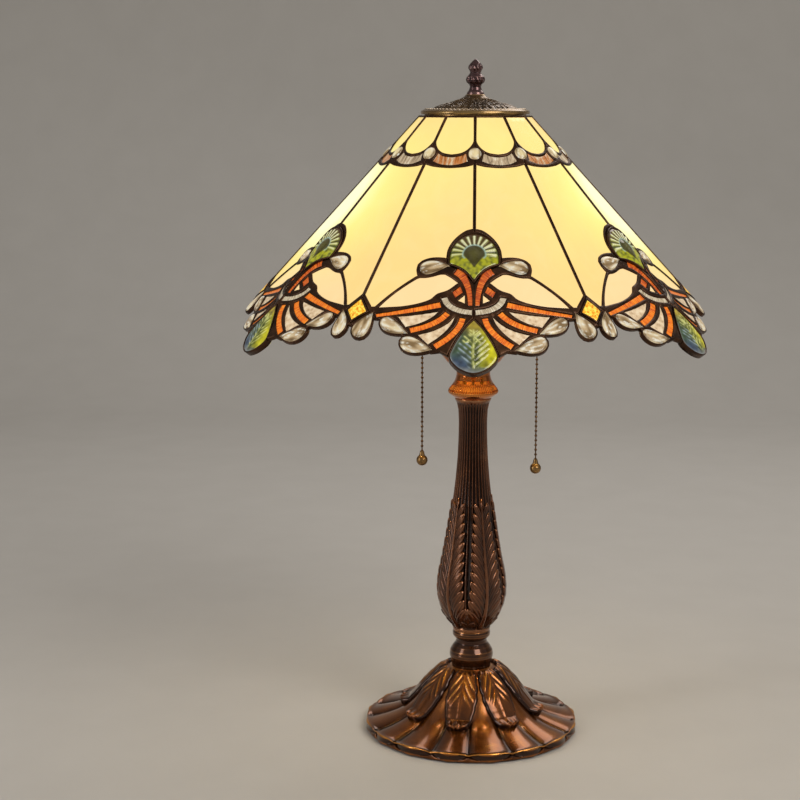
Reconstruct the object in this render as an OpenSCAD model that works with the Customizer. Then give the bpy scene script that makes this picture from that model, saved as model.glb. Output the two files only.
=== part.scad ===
// Stained glass table lamp: a leaded shade of twelve flat sides on a cast column and a lobed base,
// with a two-light cluster, pull-chain switches, a vase cap and a finial.
// Millimetres. Origin at the middle of the underside, +Z up, front towards -Y.

/* [Overall] */
// Height of the whole lamp, up to the finial's tip
lamp_h = 591.5; // [587:0.5:599]

/* [Shade] */
// Number of flat sides
sides = 12; // [12]
// Radius of the seams at the top edge
shade_top_r = 46.5; // [45:0.5:48]
// Height of the top edge
shade_top_z = 545; // [543:1:547]
// Radius of the seams at the eave, where the pendants start
eave_r = 185; // [180:1:190]
// Height of the eave
eave_z = 393; // [391:1:395]
// Thickness of the sheet glass
glass_t = 3; // [2.5:0.1:3.5]
// How far the pressed jewels stand proud of the sheet glass
jewel_rise = 1.8; // [1:0.1:2.5]
// Angle by which each pendant hangs steeper than its seam
pendant_tilt = 5.7; // [3:0.1:8]

/* [Solder] */
// How far the solder stands proud of the glass on each face
solder_rise = 0.4; // [0.2:0.1:0.8]
// Width of the solder rim around the jewels on the seams
collar_w = 1.7; // [1.2:0.1:2]

/* [Base] */
// Radius of the base at the middle of a lobe
base_r = 95; // [90:1:97]
// Depth of the notches between the lobes
lobe_depth = 3; // [2:0.5:4]
// Height of the upright rim
rim_top = 9; // [8:0.5:10]
// Thickness of the felt under the base
felt_t = 1.5; // [1:0.1:2]
// Radius of the cord inlet's bore
inlet_r = 3.6; // [3.5:0.1:3.8]

/* [Column] */
// Height of the base's top, where the knob sits
base_top = 57; // [56:1:58]
// Height of the knob's top, where the column casting starts
knob_top = 91; // [90:1:92]
// Height of the column casting's top
column_top = 301; // [299:1:303]
// Height of the copper collar's top
collar_top = 325; // [324:1:326]
// Outer radius of the threaded pipe inside the column
pipe_r = 4.9; // [4.7:0.1:4.9]

/* [Sockets] */
// Distance of each socket's foot from the lamp's axis
socket_x = 22; // [21:0.5:23]
// Height of each socket's foot
socket_z = 357; // [356:1:359]
// Lean of the sockets from the vertical
socket_lean = 35; // [34:1:36]
// Outer radius of the socket shells
shell_r = 17; // [16.8:0.1:17]
// Radius of the bulbs
bulb_r = 27.5; // [24:0.5:28]

/* [Pull chains] */
// Distance of the left chain from the lamp's middle plane
left_chain_x = 44; // [42:0.5:48]
// Distance of the right chain from the lamp's middle plane
right_chain_x = 55; // [50:0.5:55]
// Height of the left ball's centre
left_ball_z = 249; // [242:1:257]
// Height of the right ball's centre
right_ball_z = 239; // [232:1:247]
// Diameter of the balls
ball_d = 9.8; // [9:0.1:11]
// Diameter of the chain's beads
bead_d = 2.4; // [2.2:0.1:2.6]
// Distance from one bead to the next
bead_pitch = 4.1; // [4:0.1:4.5]

/* [Hidden] */

$fn = 64;
run_gap = 0.1;          // radial clearance of a running fit
slip_gap = 0.2;         // radial clearance of a pipe in a casting
cut = 1;                // how far a cutter runs past a face
pipe_bore = 3.4;        // bore of the lamp pipe and the riser
nut_r = 8.5;            // corner radius of the hexagon nuts

// ---------------------------------------------------------------- shade geometry
half_angle = 180 / sides;
seam_k = (eave_r - shade_top_r) / (shade_top_z - eave_z);
panel_k = seam_k * cos(half_angle);
panel_len = sqrt(1 + panel_k * panel_k);
net_t = glass_t + solder_rise;          // depth of the solder behind the glass's outer face
jewel_t = 5.5;                          // depth of the jewels that sit on a seam
oval_t = 4;                             // depth of the ovals
seam_jewel_rise = 1.4;                  // how far these jewels stand proud of the seam
diamond_rise = 0.8;
collar_t = 6;                           // depth of the solder rims around them
window_t = 9;                           // reach of the cutters that open those rims, each way
pendant_v = 206.5;                      // distance down the seam at which the pendants start

// Half the width of a side, v millimetres down its slope
function half_w(v) = (shade_top_r + seam_k * v / panel_len) * sin(half_angle);

// A point of a side: u across from the seam with the shell motif, v down the slope
function at(p) = [p[0] - half_w(p[1]), -p[1]];
function on_side(pts) = [for (p = pts) at(p)];

// The same points, and then their mirror images about the middle of the side
function both_ways(pts) = concat(pts, [for (i = [len(pts) - 1:-1:0])
    [2 * half_w(pts[i][1]) - pts[i][0], pts[i][1]]]);

// The same points, and then their mirror images about a seam
function both_halves(pts) = concat(pts, [for (i = [len(pts) - 1:-1:0]) [-pts[i][0], pts[i][1]]]);
function down(pts) = [for (p = pts) [p[0], -p[1]]];

// A point of the curve from a to b that bends towards c
function bend_at(a, c, b, t) = (1 - t) * (1 - t) * a + 2 * t * (1 - t) * c + t * t * b;
function curve(a, c, b, n = 5) = [for (i = [0:n]) bend_at(a, c, b, i / n)];

// A strip of glass along such a curve, wa wide at its start and wb wide at its end
function heading(a, c, b, t) = (1 - t) * (c - a) + t * (b - c);
function side_step(d, w) = [-d[1], d[0]] / norm(d) * w / 2;
function strip_edge(a, c, b, wa, wb, s, t) =
    bend_at(a, c, b, t) + s * side_step(heading(a, c, b, t), wa + (wb - wa) * t);
function strip(a, c, b, wa, wb, n = 5) = concat(
    [for (i = [0:n]) strip_edge(a, c, b, wa, wb, 1, i / n)],
    [for (i = [n:-1:0]) strip_edge(a, c, b, wa, wb, -1, i / n)]);

// A drop from its sharp tip to its round end, r at its widest, its back arched by bow
drop_fill = 0.74;       // the widest value of the drop's formula, which r replaces
function drop_y(t, r) = r / drop_fill * sin(t) * pow(sin(t / 2), 1.2);
function drop(tip, end, r, bow = 0, n = 16) =
    let (d = end - tip, e = d / norm(d), m = [-e[1], e[0]])
    [for (i = [0:n - 1]) let (t = 360 * i / n, s = (1 - cos(t)) / 2)
        tip + d * s + m * (drop_y(t, r) + bow * sin(180 * s))];
function drop_rim(tip, end, r, bow = 0) =
    let (e = (end - tip) / norm(end - tip))
    drop(tip - e * 2.6, end + e * 1.7, r + 1.5, bow);

// Outlines on a side, as [u, v] points
top_cream = both_ways([[1.5, 3], [1.5, 28.5], [3.4, 33], [7, 37.5], [12, 40.7], [19.4, 42.2]]);
band_strip = concat(both_ways([[6.2, 49.3], [7, 45], [7.6, 41.2], [12.5, 44], [19.9, 45.3]]),
    [[2 * half_w(52.3) - 13, 52.3], [half_w(53.4), 53.4], [13, 52.3]]);
main_cream = concat(
    [[1.5, 53.2], [8, 55.2], [half_w(56.6), 56.6], [2 * half_w(55.2) - 8, 55.2],
     [2 * half_w(53.2) - 1.5, 53.2], [2 * half_w(183.5) - 1.5, 183.5], [82, 194.6]],
    curve([79.5, 194.6], [64, 177.5], [46, 164]),
    [[46.8, 158.5], [45.8, 153.3], [42, 149.4], [36, 146.7], [30, 145.8], [22.8, 146],
     [21.7, 138.5], [18.3, 131], [13, 124.3], [7, 119.3], [1.5, 117.3]]);
wing_cream = concat(
    curve([27, 162.6], [38, 167], [43.4, 166.4], 3), curve([45.5, 167.2], [63, 179.5], [76, 195.3]),
    curve([58, 193.4], [42, 190.5], [34.5, 185.6], 3),
    [[29.5, 180.6], [21, 176.8], [13, 169.8], [18.5, 165.4], [23.4, 162.4]]);
red_strip = strip([14.5, 158.5], [3.2, 165.5], [2.9, 190.5], 7, 3);
cross_strip = [[11, 173.2], [9, 178.6], [14.8, 183.4], [17, 178.6]];
cream_triangle = [[7.4, 181.4], [12.4, 186.3], [7.4, 188.4]];
grey_crescent = strip([23.6, 184.2], [20.5, 196], [1.6, 196.9], 4.8, 4.4);
upper_orange = strip([26.6, 190.8], [50, 197.6], [78, 203], 4.8, 2.6);
middle_orange = strip([20.8, 198.5], [29.5, 210], [50.2, 215.5], 4.6, 4.4);
lower_orange = strip([8.8, 202.6], [11.3, 216.1], [30.3, 229.3], 4.4, 4.6);
wedge_tip_a = [28.2, 197.4];
wedge_tip_b = [15, 201.4];
wedge_a = concat([[45, 201.1], [60, 203.3]], curve([54, 212.3], [36.5, 207.8], wedge_tip_a));
wedge_b = concat(curve(wedge_tip_b, [23.5, 214.2], [43.8, 219.3], 4),
    [for (i = [0:3]) bend_at([35.8, 227.3], [18.5, 214.6], wedge_tip_b, i / 4)]);
fan_drop = [[19.8, 153.4], [43.3, 158.8], 6, -1.4];
end_drop_a = [[52.6, 218.2], [73.6, 206.8], 6.1, 1];
end_drop_b = [[32.8, 232.2], [57.6, 225.4], 6.6, 1];
edge_drop = [[81, 200.6], [94.4, 223], 5.9, 0];
net_edge = [[0, 1], [0, 205], [7, 211.5], [14, 222.5], [19, 234], [20.5, 237], [27, 233.6],
    [34, 234.8], [46, 229], [56, 221], [66, 214], [76, 206.4], [80.5, 206], [87, 212],
    [2 * half_w(213) , 213], [2 * half_w(1), 1]];

// Outlines on a seam, as half widths and distances down the seam
fan_half = concat(
    [for (a = [0:15:90]) [19 * sin(a), 145 - 20.5 * cos(a)]], [[18.8, 151]],
    curve([17, 152.2], [6, 157.5], [0, 169.4]));
fan_rim_half = concat(
    [for (a = [0:15:90]) [(19 + collar_w) * sin(a), 145 - (20.5 + collar_w) * cos(a)]],
    [[20.5, 153]], curve([17.2, 154.3], [7, 160], [0, 173.2]));
pendant_half = [[0, 0.6], [6.4, 8], [13.6, 20], [17.6, 29], [17.8, 32], [16.6, 35.4], [11.4, 41.4],
    [5, 45], [0, 46]];
pendant_rim_half = [[0, -1.4], [7.5, 7.2], [14.8, 19.4], [18.9, 28.7], [19.1, 32.2], [17.8, 36.1],
    [12.2, 42.4], [5.5, 46.2], [0, 47.3]];
diamond_half = [[0, 191.6], [8.3, 201.4], [0, 211]];
diamond_rim_half = [[0, 188.8], [10.7, 201.4], [0, 213.8]];
oval_rx = 4.7;
oval_ry = 5.8;
oval_v = 42;

// ---------------------------------------------------------------- shade placing
module on_panel(k) {
    rotate([0, 0, half_angle * (2 * k + 1)])
        translate([0, -shade_top_r * cos(half_angle), shade_top_z])
            rotate([90 - atan(panel_k), 0, 0])
                mirror([k % 2, 0, 0]) children();
}

module on_seam(j) {
    rotate([0, 0, 2 * half_angle * j])
        translate([0, -shade_top_r, shade_top_z])
            rotate([90 - atan(seam_k), 0, 0]) children();
}

module on_pendant(j) {
    on_seam(j) translate([0, -pendant_v, 0]) rotate([pendant_tilt, 0, 0]) children();
}

// One flat piece of glass on every side, or on the sides listed
module sheets(pts, which = [0:sides - 1]) {
    for (k = which) on_panel(k)
        translate([0, 0, -glass_t]) linear_extrude(glass_t) polygon(on_side(pts));
}

// One pressed jewel on every side, which stands proud of the sheets
module pressed(d) {
    for (k = [0:sides - 1]) on_panel(k)
        translate([0, 0, -net_t]) linear_extrude(net_t + jewel_rise)
            polygon(on_side(drop(d[0], d[1], d[2], d[3])));
}

module seam_prism(pts, depth, rise) {
    translate([0, 0, -depth]) linear_extrude(depth + rise) polygon(down(pts));
}

// The oval's outline crosses the seam between two of its points
module oval_prism() {
    seam_prism([for (a = [11.25:22.5:348.75]) [oval_rx * sin(a), oval_v - oval_ry * cos(a)]],
        oval_t, seam_jewel_rise);
}
module fan_prism() { seam_prism(both_halves(fan_half), jewel_t, seam_jewel_rise); }
module diamond_prism() { seam_prism(both_halves(diamond_half), jewel_t, diamond_rise); }
module pendant_prism() { seam_prism(both_halves(pendant_half), jewel_t, seam_jewel_rise); }

// The solder of one side, mitred at both seams
module side_net(k) {
    intersection() {
        on_panel(k) translate([0, 0, -net_t]) linear_extrude(net_t + solder_rise) difference() {
            union() {
                polygon(on_side(net_edge));
                polygon(on_side(drop_rim(end_drop_a[0], end_drop_a[1], end_drop_a[2], end_drop_a[3])));
                polygon(on_side(drop_rim(end_drop_b[0], end_drop_b[1], end_drop_b[2], end_drop_b[3])));
                polygon(on_side(drop_rim(edge_drop[0], edge_drop[1], edge_drop[2])));
            }
            for (pts = [top_cream, band_strip, main_cream, wing_cream, red_strip, cross_strip,
                cream_triangle, grey_crescent, upper_orange, middle_orange, lower_orange,
                wedge_a, wedge_b]) polygon(on_side(pts));
            for (d = [fan_drop, end_drop_a, end_drop_b, edge_drop])
                polygon(on_side(drop(d[0], d[1], d[2], d[3])));
        }
        rotate([0, 0, half_angle * (2 * k + 1)]) translate([0, 0, eave_z - 60])
            linear_extrude(shade_top_z - eave_z + 80)
                polygon([[0, 0], [-320 * tan(half_angle), -320], [320 * tan(half_angle), -320]]);
    }
}

module solder_net() {
    color([0.16, 0.09, 0.06]) difference() {
        union() {
            for (k = [0:sides - 1]) side_net(k);
            for (j = [0:2:sides - 1]) {
                on_seam(j) seam_prism(both_halves(fan_rim_half), collar_t, solder_rise);
                on_pendant(j) seam_prism(both_halves(pendant_rim_half), collar_t, solder_rise);
                on_seam(j + 1) seam_prism(both_halves(diamond_rim_half), collar_t - 1, solder_rise);
            }
        }
        for (j = [0:sides - 1]) on_seam(j) oval_prism();
        for (k = [0:sides - 1]) on_panel(k) translate([0, 0, -window_t])
            linear_extrude(2 * window_t) {
                polygon(on_side(drop(fan_drop[0], fan_drop[1], fan_drop[2], fan_drop[3])));
                polygon(on_side(red_strip));
            }
        for (j = [0:2:sides - 1]) {
            on_seam(j) seam_prism(both_halves(fan_half), window_t, window_t);
            on_pendant(j) seam_prism(both_halves(pendant_half), window_t, window_t);
            on_seam(j + 1) seam_prism(both_halves(diamond_half), window_t, window_t);
        }
    }
}

module top_cream_panels() { color([0.98, 0.9, 0.72]) sheets(top_cream); }
module main_cream_panels() { color([0.98, 0.88, 0.68]) sheets(main_cream); }
module wing_cream_panels() { color([0.96, 0.82, 0.66]) sheets(wing_cream); }
module cream_triangles() { color([0.95, 0.84, 0.68]) sheets(cream_triangle); }
module amber_band_strips() { color([0.66, 0.4, 0.25]) sheets(band_strip, [1:2:sides - 1]); }
module grey_band_strips() { color([0.62, 0.56, 0.5]) sheets(band_strip, [0:2:sides - 2]); }
module red_strips() { color([0.82, 0.3, 0.08]) sheets(red_strip); }
module cross_strips() { color([0.85, 0.36, 0.08]) sheets(cross_strip); }
module grey_crescents() { color([0.72, 0.68, 0.6]) sheets(grey_crescent); }
module upper_orange_strips() { color([0.9, 0.45, 0.08]) sheets(upper_orange); }
module middle_orange_strips() { color([0.9, 0.42, 0.06]) sheets(middle_orange); }
module lower_orange_strips() { color([0.88, 0.38, 0.06]) sheets(lower_orange); }
module clear_wedges() { color([0.86, 0.78, 0.66]) { sheets(wedge_a); sheets(wedge_b); } }
module fan_teardrops() { color([0.8, 0.78, 0.68]) pressed(fan_drop); }
module end_teardrops() { color([0.82, 0.78, 0.68]) { pressed(end_drop_a); pressed(end_drop_b); } }
module edge_drop_jewels() { color([0.8, 0.78, 0.7]) pressed(edge_drop); }
module oval_jewels() { color([0.85, 0.8, 0.65]) for (j = [0:sides - 1]) on_seam(j) oval_prism(); }
module amber_diamonds() {
    color([0.95, 0.6, 0.1]) for (j = [1:2:sides - 1]) on_seam(j) diamond_prism();
}
module shell_fan_jewels() {
    color([0.62, 0.62, 0.1]) for (j = [0:2:sides - 1]) on_seam(j) fan_prism();
}
module pendant_jewels() {
    color([0.6, 0.62, 0.25]) for (j = [0:2:sides - 1]) on_pendant(j) pendant_prism();
}

// ---------------------------------------------------------------- top of the lamp
ring_z = shade_top_z - 2.5;
cap_floor = 556;
cap_top = 561.7;
riser_low = 344;

module shade_top_ring() {
    color([0.5, 0.36, 0.16]) translate([0, 0, ring_z]) difference() {
        cylinder(r = 43.4, h = 4.5);
        translate([0, 0, -cut]) cylinder(r = 40, h = 4.5 + 2 * cut);
    }
}

module vase_cap() {
    color([0.35, 0.25, 0.12]) rotate_extrude() polygon([
        [3.2, cap_floor], [8, cap_floor], [12, cap_floor - 0.6], [22, 553], [31, 550.4], [36, 548.6],
        [40.5, 547],
        [44, 547.1], [44.8, 545.3], [46, 545.2], [46.6, 546.4], [46, 548], [43.5, 549.2],
        [40, 549.3], [36, 550.2], [32.7, 552.2],
        [30.5, 553.2], [22, 555.2], [14, 557.6], [9.6, 560], [8, cap_top], [3.2, cap_top]]);
}

module finial_stud() {
    color([0.7, 0.55, 0.25]) {
        translate([0, 0, cap_floor - 13]) cylinder(r = 2.9, h = 24);
        translate([0, 0, cap_floor - 3]) cylinder(r = 7, h = 3, $fn = 6);
    }
}

module finial() {
    tip = lamp_h;
    color([0.22, 0.13, 0.12]) difference() {
        rotate_extrude() polygon([[0, cap_top], [7.6, cap_top], [7.2, 563.4], [5.6, 565.4], [4.7, 568],
            [5.4, 570], [7.6, 572], [8.2, 574], [7.6, 576.4], [5.4, 578.6], [4.6, 580], [5.2, 581.6],
            [6.3, 583.5], [6, 585.5], [4.4, 587.8], [2.4, 589.8], [0.9, 591], [0, tip]]);
        translate([0, 0, cap_top - cut]) cylinder(r = 2.9 + run_gap, h = 6.8);
    }
}

module riser_pipe() {
    color([0.6, 0.45, 0.2]) translate([0, 0, riser_low]) difference() {
        cylinder(r = pipe_r - 0.1, h = cap_floor - 3 - riser_low);
        translate([0, 0, -cut]) cylinder(r = pipe_bore, h = 250);
    }
}

// ---------------------------------------------------------------- two-light cluster
module cluster_cup() {
    color([0.5, 0.22, 0.1]) rotate_extrude() polygon([
        [pipe_r + slip_gap, collar_top], [14.8, collar_top], [18.5, 328.6], [23.8, 333.4], [27.4, 338],
        [28.5, 341], [29, 348], [27.4, 348], [26.9, 341.5], [25.9, 338.8], [22.6, 334.5],
        [17.6, 329.9], [14.4, collar_top + 1.6], [pipe_r + slip_gap, collar_top + 1.6]]);
}

body_floor = collar_top + 1.6;
body_top = 351;

// Places its children at a socket's foot, +Z along the socket and +X towards the chain's outlet
module at_socket(i, turned = true) {
    s = i == 0 ? -1 : 1;
    translate([s * socket_x, 0, socket_z]) rotate([0, s * socket_lean, 0])
        rotate([0, 0, turned ? outlet_turn[i] : 0]) children();
}

module cluster_body() {
    color([0.6, 0.4, 0.2]) difference() {
        union() {
            translate([0, 0, body_floor]) cylinder(r = 13, h = body_top - body_floor);
            for (i = [0, 1]) at_socket(i) translate([0, 0, -15]) cylinder(r = 6, h = 17);
        }
        translate([0, 0, body_floor + 2]) cylinder(r = 10.6, h = 40);
        translate([0, 0, body_floor - cut]) cylinder(r = pipe_r + slip_gap, h = 10);
        for (i = [0, 1]) at_socket(i) translate([0, 0, -18]) cylinder(r = 4, h = 24);
    }
}

module cluster_cover() {
    color([0.5, 0.3, 0.14]) difference() {
        translate([0, 0, body_top]) rotate_extrude() polygon([[0, 0], [12.6, 0], [12.6, 0.8],
            [11, 1.8], [7.5, 2.6], [0, 2.6]]);
        translate([0, 0, body_top - cut]) cylinder(r = pipe_r + run_gap, h = 6);
        for (i = [0, 1]) at_socket(i) translate([0, 0, -18]) cylinder(r = 8.7, h = 24);
    }
}

module hex_nut(z, h) {
    translate([0, 0, z]) difference() {
        cylinder(r = nut_r, h = h, $fn = 6);
        translate([0, 0, -cut]) cylinder(r = pipe_r + run_gap, h = h + 2 * cut);
    }
}

module cluster_nuts() {
    color([0.75, 0.6, 0.3]) {
        hex_nut(body_floor + 2, 4);
        hex_nut(body_top - 4, 4);
    }
}

// ---------------------------------------------------------------- sockets
outlet_s = 24;          // distance of the chain outlet along the socket
outlet_reach = 24;      // distance of the chain from the socket's axis
chain_x = [left_chain_x, right_chain_x];
ball_z = [left_ball_z, right_ball_z];
outlet_theta = [for (i = [0, 1])
    acos((chain_x[i] - socket_x - sin(socket_lean) * outlet_s) / (cos(socket_lean) * outlet_reach))];
outlet_turn = [180 + outlet_theta[0], -outlet_theta[1]];
chain_y = [for (i = [0, 1]) -outlet_reach * sin(outlet_theta[i])];
guide_z = [for (i = [0, 1]) socket_z + cos(socket_lean) * outlet_s
    - sin(socket_lean) * outlet_reach * cos(outlet_theta[i])];
guide_drop = 11;        // length of the guide's upright mouth below the outlet
elbow_r = 4.5;          // the guide's round elbow, wider than its tubes
elbow_bore_r = 2.8;     // the room inside it, where the two bores meet
lever_pivot = [-2, -7];
lever_arm = 9;
lever_rest = 130;

module socket_caps() {
    color([0.78, 0.62, 0.3]) for (i = [0, 1]) at_socket(i) rotate_extrude() polygon([
        [6.2, -3], [8.4, -3], [8.4, 0], [13.6, 3.4], [16.8, 8], [17.7, 11], [17.7, 15.5],
        [shell_r + run_gap, 15.5], [shell_r + run_gap, 11.4], [16, 8.6], [13, 4.4], [6.2, 1]]);
}

module socket_shells() {
    color([0.8, 0.65, 0.34]) for (i = [0, 1]) at_socket(i) difference() {
        translate([0, 0, 12]) cylinder(r = shell_r, h = 46);
        translate([0, 0, 12 - cut]) cylinder(r = shell_r - 0.6, h = 50);
        translate([0, 0, outlet_s]) rotate([0, 90, 0]) cylinder(r = 3.5, h = 30);
    }
}

module socket_liners() {
    color([0.7, 0.6, 0.45]) for (i = [0, 1]) at_socket(i) difference() {
        translate([0, 0, 15]) cylinder(r = shell_r - 0.7, h = 42);
        translate([0, 0, 15 - cut]) cylinder(r = shell_r - 1.5, h = 50);
        translate([0, 0, outlet_s]) rotate([0, 90, 0]) cylinder(r = 3.6, h = 30);
    }
}

module switch_bodies() {
    color([0.25, 0.2, 0.18]) for (i = [0, 1]) at_socket(i) {
        difference() {
            translate([0, 0, 15]) cylinder(r = shell_r - 1.8, h = 20);
            translate([0, 0, 21]) cylinder(r = 12.8, h = 6);
            translate([6, -1.8, 21.5]) cube([12, 3.6, 5]);
            translate([0, 0, 32]) cylinder(r = 4, h = 6);
        }
        translate([lever_pivot[0], lever_pivot[1], 20]) cylinder(r = 1.5, h = 8);
    }
}

module screw_shells() {
    color([0.82, 0.8, 0.74]) for (i = [0, 1]) at_socket(i) difference() {
        translate([0, 0, 35]) cylinder(r = 14.2, h = 21);
        translate([0, 0, 36]) cylinder(r = 13.5, h = 24);
        translate([0, 0, 34]) cylinder(r = 6, h = 6);
    }
}

module centre_contacts() {
    color([0.8, 0.62, 0.3]) for (i = [0, 1]) at_socket(i) {
        translate([-3, -2, 32]) cube([6, 4, 0.8]);
        translate([1.6, -2, 32]) cube([0.8, 4, 4.6]);
        translate([-2.4, -2, 36]) cube([4.8, 4, 0.6]);
    }
}

module chain_guides() {
    color([0.72, 0.56, 0.28]) for (i = [0, 1]) {
        s = i == 0 ? -1 : 1;
        difference() {
            union() {
                at_socket(i) translate([shell_r - 1.4, 0, outlet_s]) rotate([0, 90, 0])
                    cylinder(r = 3.4, h = outlet_reach - shell_r + 1.4);
                translate([s * chain_x[i], chain_y[i], guide_z[i]]) sphere(r = elbow_r);
                translate([s * chain_x[i], chain_y[i], guide_z[i] - guide_drop]) {
                    cylinder(r = 3.4, h = guide_drop);
                    cylinder(r1 = 4.8, r2 = 3.4, h = 3);
                }
            }
            at_socket(i) translate([shell_r - 4, 0, outlet_s]) rotate([0, 90, 0])
                cylinder(r = 1.9, h = outlet_reach - shell_r + 4);
            translate([s * chain_x[i], chain_y[i], guide_z[i]]) sphere(r = elbow_bore_r);
            translate([s * chain_x[i], chain_y[i], guide_z[i] - guide_drop - cut]) {
                cylinder(r = 2, h = guide_drop + cut);
                cylinder(r1 = 4.4, r2 = 2, h = 3 + cut);
            }
        }
    }
}

module switch_lever(i) {
    end = [lever_arm * cos(lever_rest), lever_arm * sin(lever_rest)];
    color([0.75, 0.72, 0.66]) at_socket(i) translate([lever_pivot[0], lever_pivot[1], 22.5]) {
        difference() {
            union() {
                cylinder(r = 3, h = 3);
                rotate([0, 0, lever_rest]) translate([1.5, -1.3, 0]) cube([lever_arm - 1.5, 2.6, 3]);
                translate([end[0], end[1], 0]) cylinder(r = 1.9, h = 3);
            }
            translate([0, 0, -cut]) cylinder(r = 1.5 + run_gap, h = 6);
            translate([end[0], end[1], -cut]) cylinder(r = 0.8, h = 6);
        }
    }
}
module left_switch_lever() { switch_lever(0); }
module right_switch_lever() { switch_lever(1); }

// ---------------------------------------------------------------- pull chains
stub_low = 10;          // how far the stub's coupling ends below the guide's mouth
stub_bead = 1.5;        // height above that end of the bead on which the chain swings
swing_z = [for (i = [0, 1]) guide_z[i] - guide_drop - stub_low];

module at_chain(i) {
    translate([(i == 0 ? -1 : 1) * chain_x[i], chain_y[i], 0]) children();
}

// A bead chain from z = high down to z = low
module beads(high, low) {
    count = floor((high - low) / bead_pitch);
    pitch = (high - low) / count;
    for (b = [0:count]) translate([0, 0, high - b * pitch]) sphere(d = bead_d, $fn = 24);
    translate([0, 0, low]) cylinder(r = 0.55, h = high - low, $fn = 16);
}

module pull_stub(i) {
    color([0.5, 0.38, 0.2]) at_chain(i) {
        beads(guide_z[i] - stub_bead, swing_z[i] + 6);
        difference() {
            translate([0, 0, swing_z[i] + 0.4]) cylinder(r1 = 2.6, r2 = 1.5, h = 7);
            translate([0, 0, swing_z[i]]) cylinder(r = 1.9, h = 4);
        }
    }
}
module left_pull_stub() { pull_stub(0); }
module right_pull_stub() { pull_stub(1); }

module pull_chain(i) {
    color([0.4, 0.28, 0.16]) at_chain(i) beads(swing_z[i] + stub_bead, ball_z[i] + ball_d / 2 + 3.2);
}
module left_pull_chain() { pull_chain(0); }
module right_pull_chain() { pull_chain(1); }

module pull_ball(i) {
    color([0.62, 0.48, 0.2]) at_chain(i) difference() {
        union() {
            translate([0, 0, ball_z[i]]) sphere(d = ball_d);
            translate([0, 0, ball_z[i] + ball_d / 2 - 0.9]) cylinder(r1 = 2.6, r2 = 1.7, h = 4);
        }
        translate([0, 0, ball_z[i] + 2]) cylinder(r = 1.3, h = 10);
    }
}
module left_pull_ball() { pull_ball(0); }
module right_pull_ball() { pull_ball(1); }

// ---------------------------------------------------------------- bulbs
glass_foot = 58.5;
module bulb_glass(i) {
    color([0.98, 0.95, 0.82]) at_socket(i, false) rotate_extrude() difference() {
        bulb_outline(0);
        bulb_outline(0.9);
    }
}
module bulb_outline(w) {
    cz = glass_foot + 50;
    intersection() {
        union() {
            translate([0, cz]) circle(r = bulb_r - w);
            polygon([[0, glass_foot + w], [13 - w, glass_foot + w], [13.6 - w, glass_foot + 8],
                [17.5 - w, glass_foot + 20], [23.4 - w * 0.9, cz - 14.5], [0, cz]]);
        }
        translate([0, glass_foot - 5]) square([60, 100]);
    }
}
module left_bulb_glass() { bulb_glass(0); }
module right_bulb_glass() { bulb_glass(1); }

module bulb_cap(i) {
    color([0.8, 0.8, 0.78]) at_socket(i, false) {
        translate([0, 0, 40.5]) cylinder(r = 13, h = glass_foot - 40.5);
        translate([0, 0, 38]) cylinder(r1 = 6, r2 = 11, h = 2.5);
        translate([0, 0, 37]) cylinder(r = 4.6, h = 1);
    }
}
module left_bulb_cap() { bulb_cap(0); }
module right_bulb_cap() { bulb_cap(1); }

// ---------------------------------------------------------------- column
module copper_collar() {
    color([0.78, 0.4, 0.16]) rotate_extrude() polygon([
        [pipe_r + slip_gap, column_top], [16, column_top], [19, 303], [21.6, 305.2], [22, 307],
        [21, 309], [18.2, 312.6], [15.8, 317], [14.8, 321], [14.8, collar_top],
        [pipe_r + slip_gap, collar_top]]);
}

module column_casting() {
    color([0.26, 0.12, 0.07]) rotate_extrude() polygon([
        [pipe_r + slip_gap, knob_top], [16.5, knob_top], [17, 93.5], [16.2, 96], [18.5, 98],
        [24.5, 107], [28, 116], [29.8, 125], [29.9, 133], [28.9, 143], [25.5, 159], [22.4, 177],
        [19.9, 193], [16.9, 212], [14.9, 229], [13.4, 247], [12.6, 265], [12.4, 279], [12.9, 290],
        [14.2, 296], [16, 299.4], [16, column_top], [pipe_r + slip_gap, column_top],
        [pipe_r + slip_gap, 293], [8.2, 287], [8.2, 249], [12, 212], [17, 177], [21.5, 152],
        [24, 133], [22.5, 119], [17, 107], [10, 100], [pipe_r + slip_gap, 97]]);
}

module base_knob() {
    color([0.24, 0.11, 0.07]) rotate_extrude() polygon([
        [pipe_r + slip_gap, base_top], [17.4, base_top], [17.2, 60], [18.2, 63], [19.4, 66.6],
        [19.5, 69], [18.9, 72], [16.6, 76], [14.1, 79], [13.7, 81.6], [14, 83], [15.6, 84.2],
        [16.7, 86], [16.9, 88.4], [16.2, knob_top], [pipe_r + slip_gap, knob_top]]);
}

pipe_low = 3.5;
pipe_top = 337;

module lamp_pipe() {
    color([0.6, 0.58, 0.55]) translate([0, 0, pipe_low]) difference() {
        cylinder(r = pipe_r, h = pipe_top - pipe_low);
        translate([0, 0, -cut]) cylinder(r = pipe_bore, h = pipe_top);
    }
}

// ---------------------------------------------------------------- base
lobe_wide = 24.5;       // angle of the wide lobes; the narrow ones between them take the rest
lobe_narrow = 45 - lobe_wide;
lobe_turn = -11.5;      // where the middle of the first narrow lobe lies, from the front
weight_z = 13;
weight_h = 13;
weight_r = 42;
inlet_z = 8;

function lobe_arc(mid, span) = [for (i = [-3:2]) let (a = mid + span / 2 * i / 3,
    r = base_r - lobe_depth + lobe_depth * cos(90 * i / 3)) [r * sin(a), -r * cos(a)]];
lobed = [for (k = [0:7]) each concat(lobe_arc(lobe_turn + 45 * k, lobe_narrow),
    lobe_arc(lobe_turn + 22.5 + 45 * k, lobe_wide))];

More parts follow.
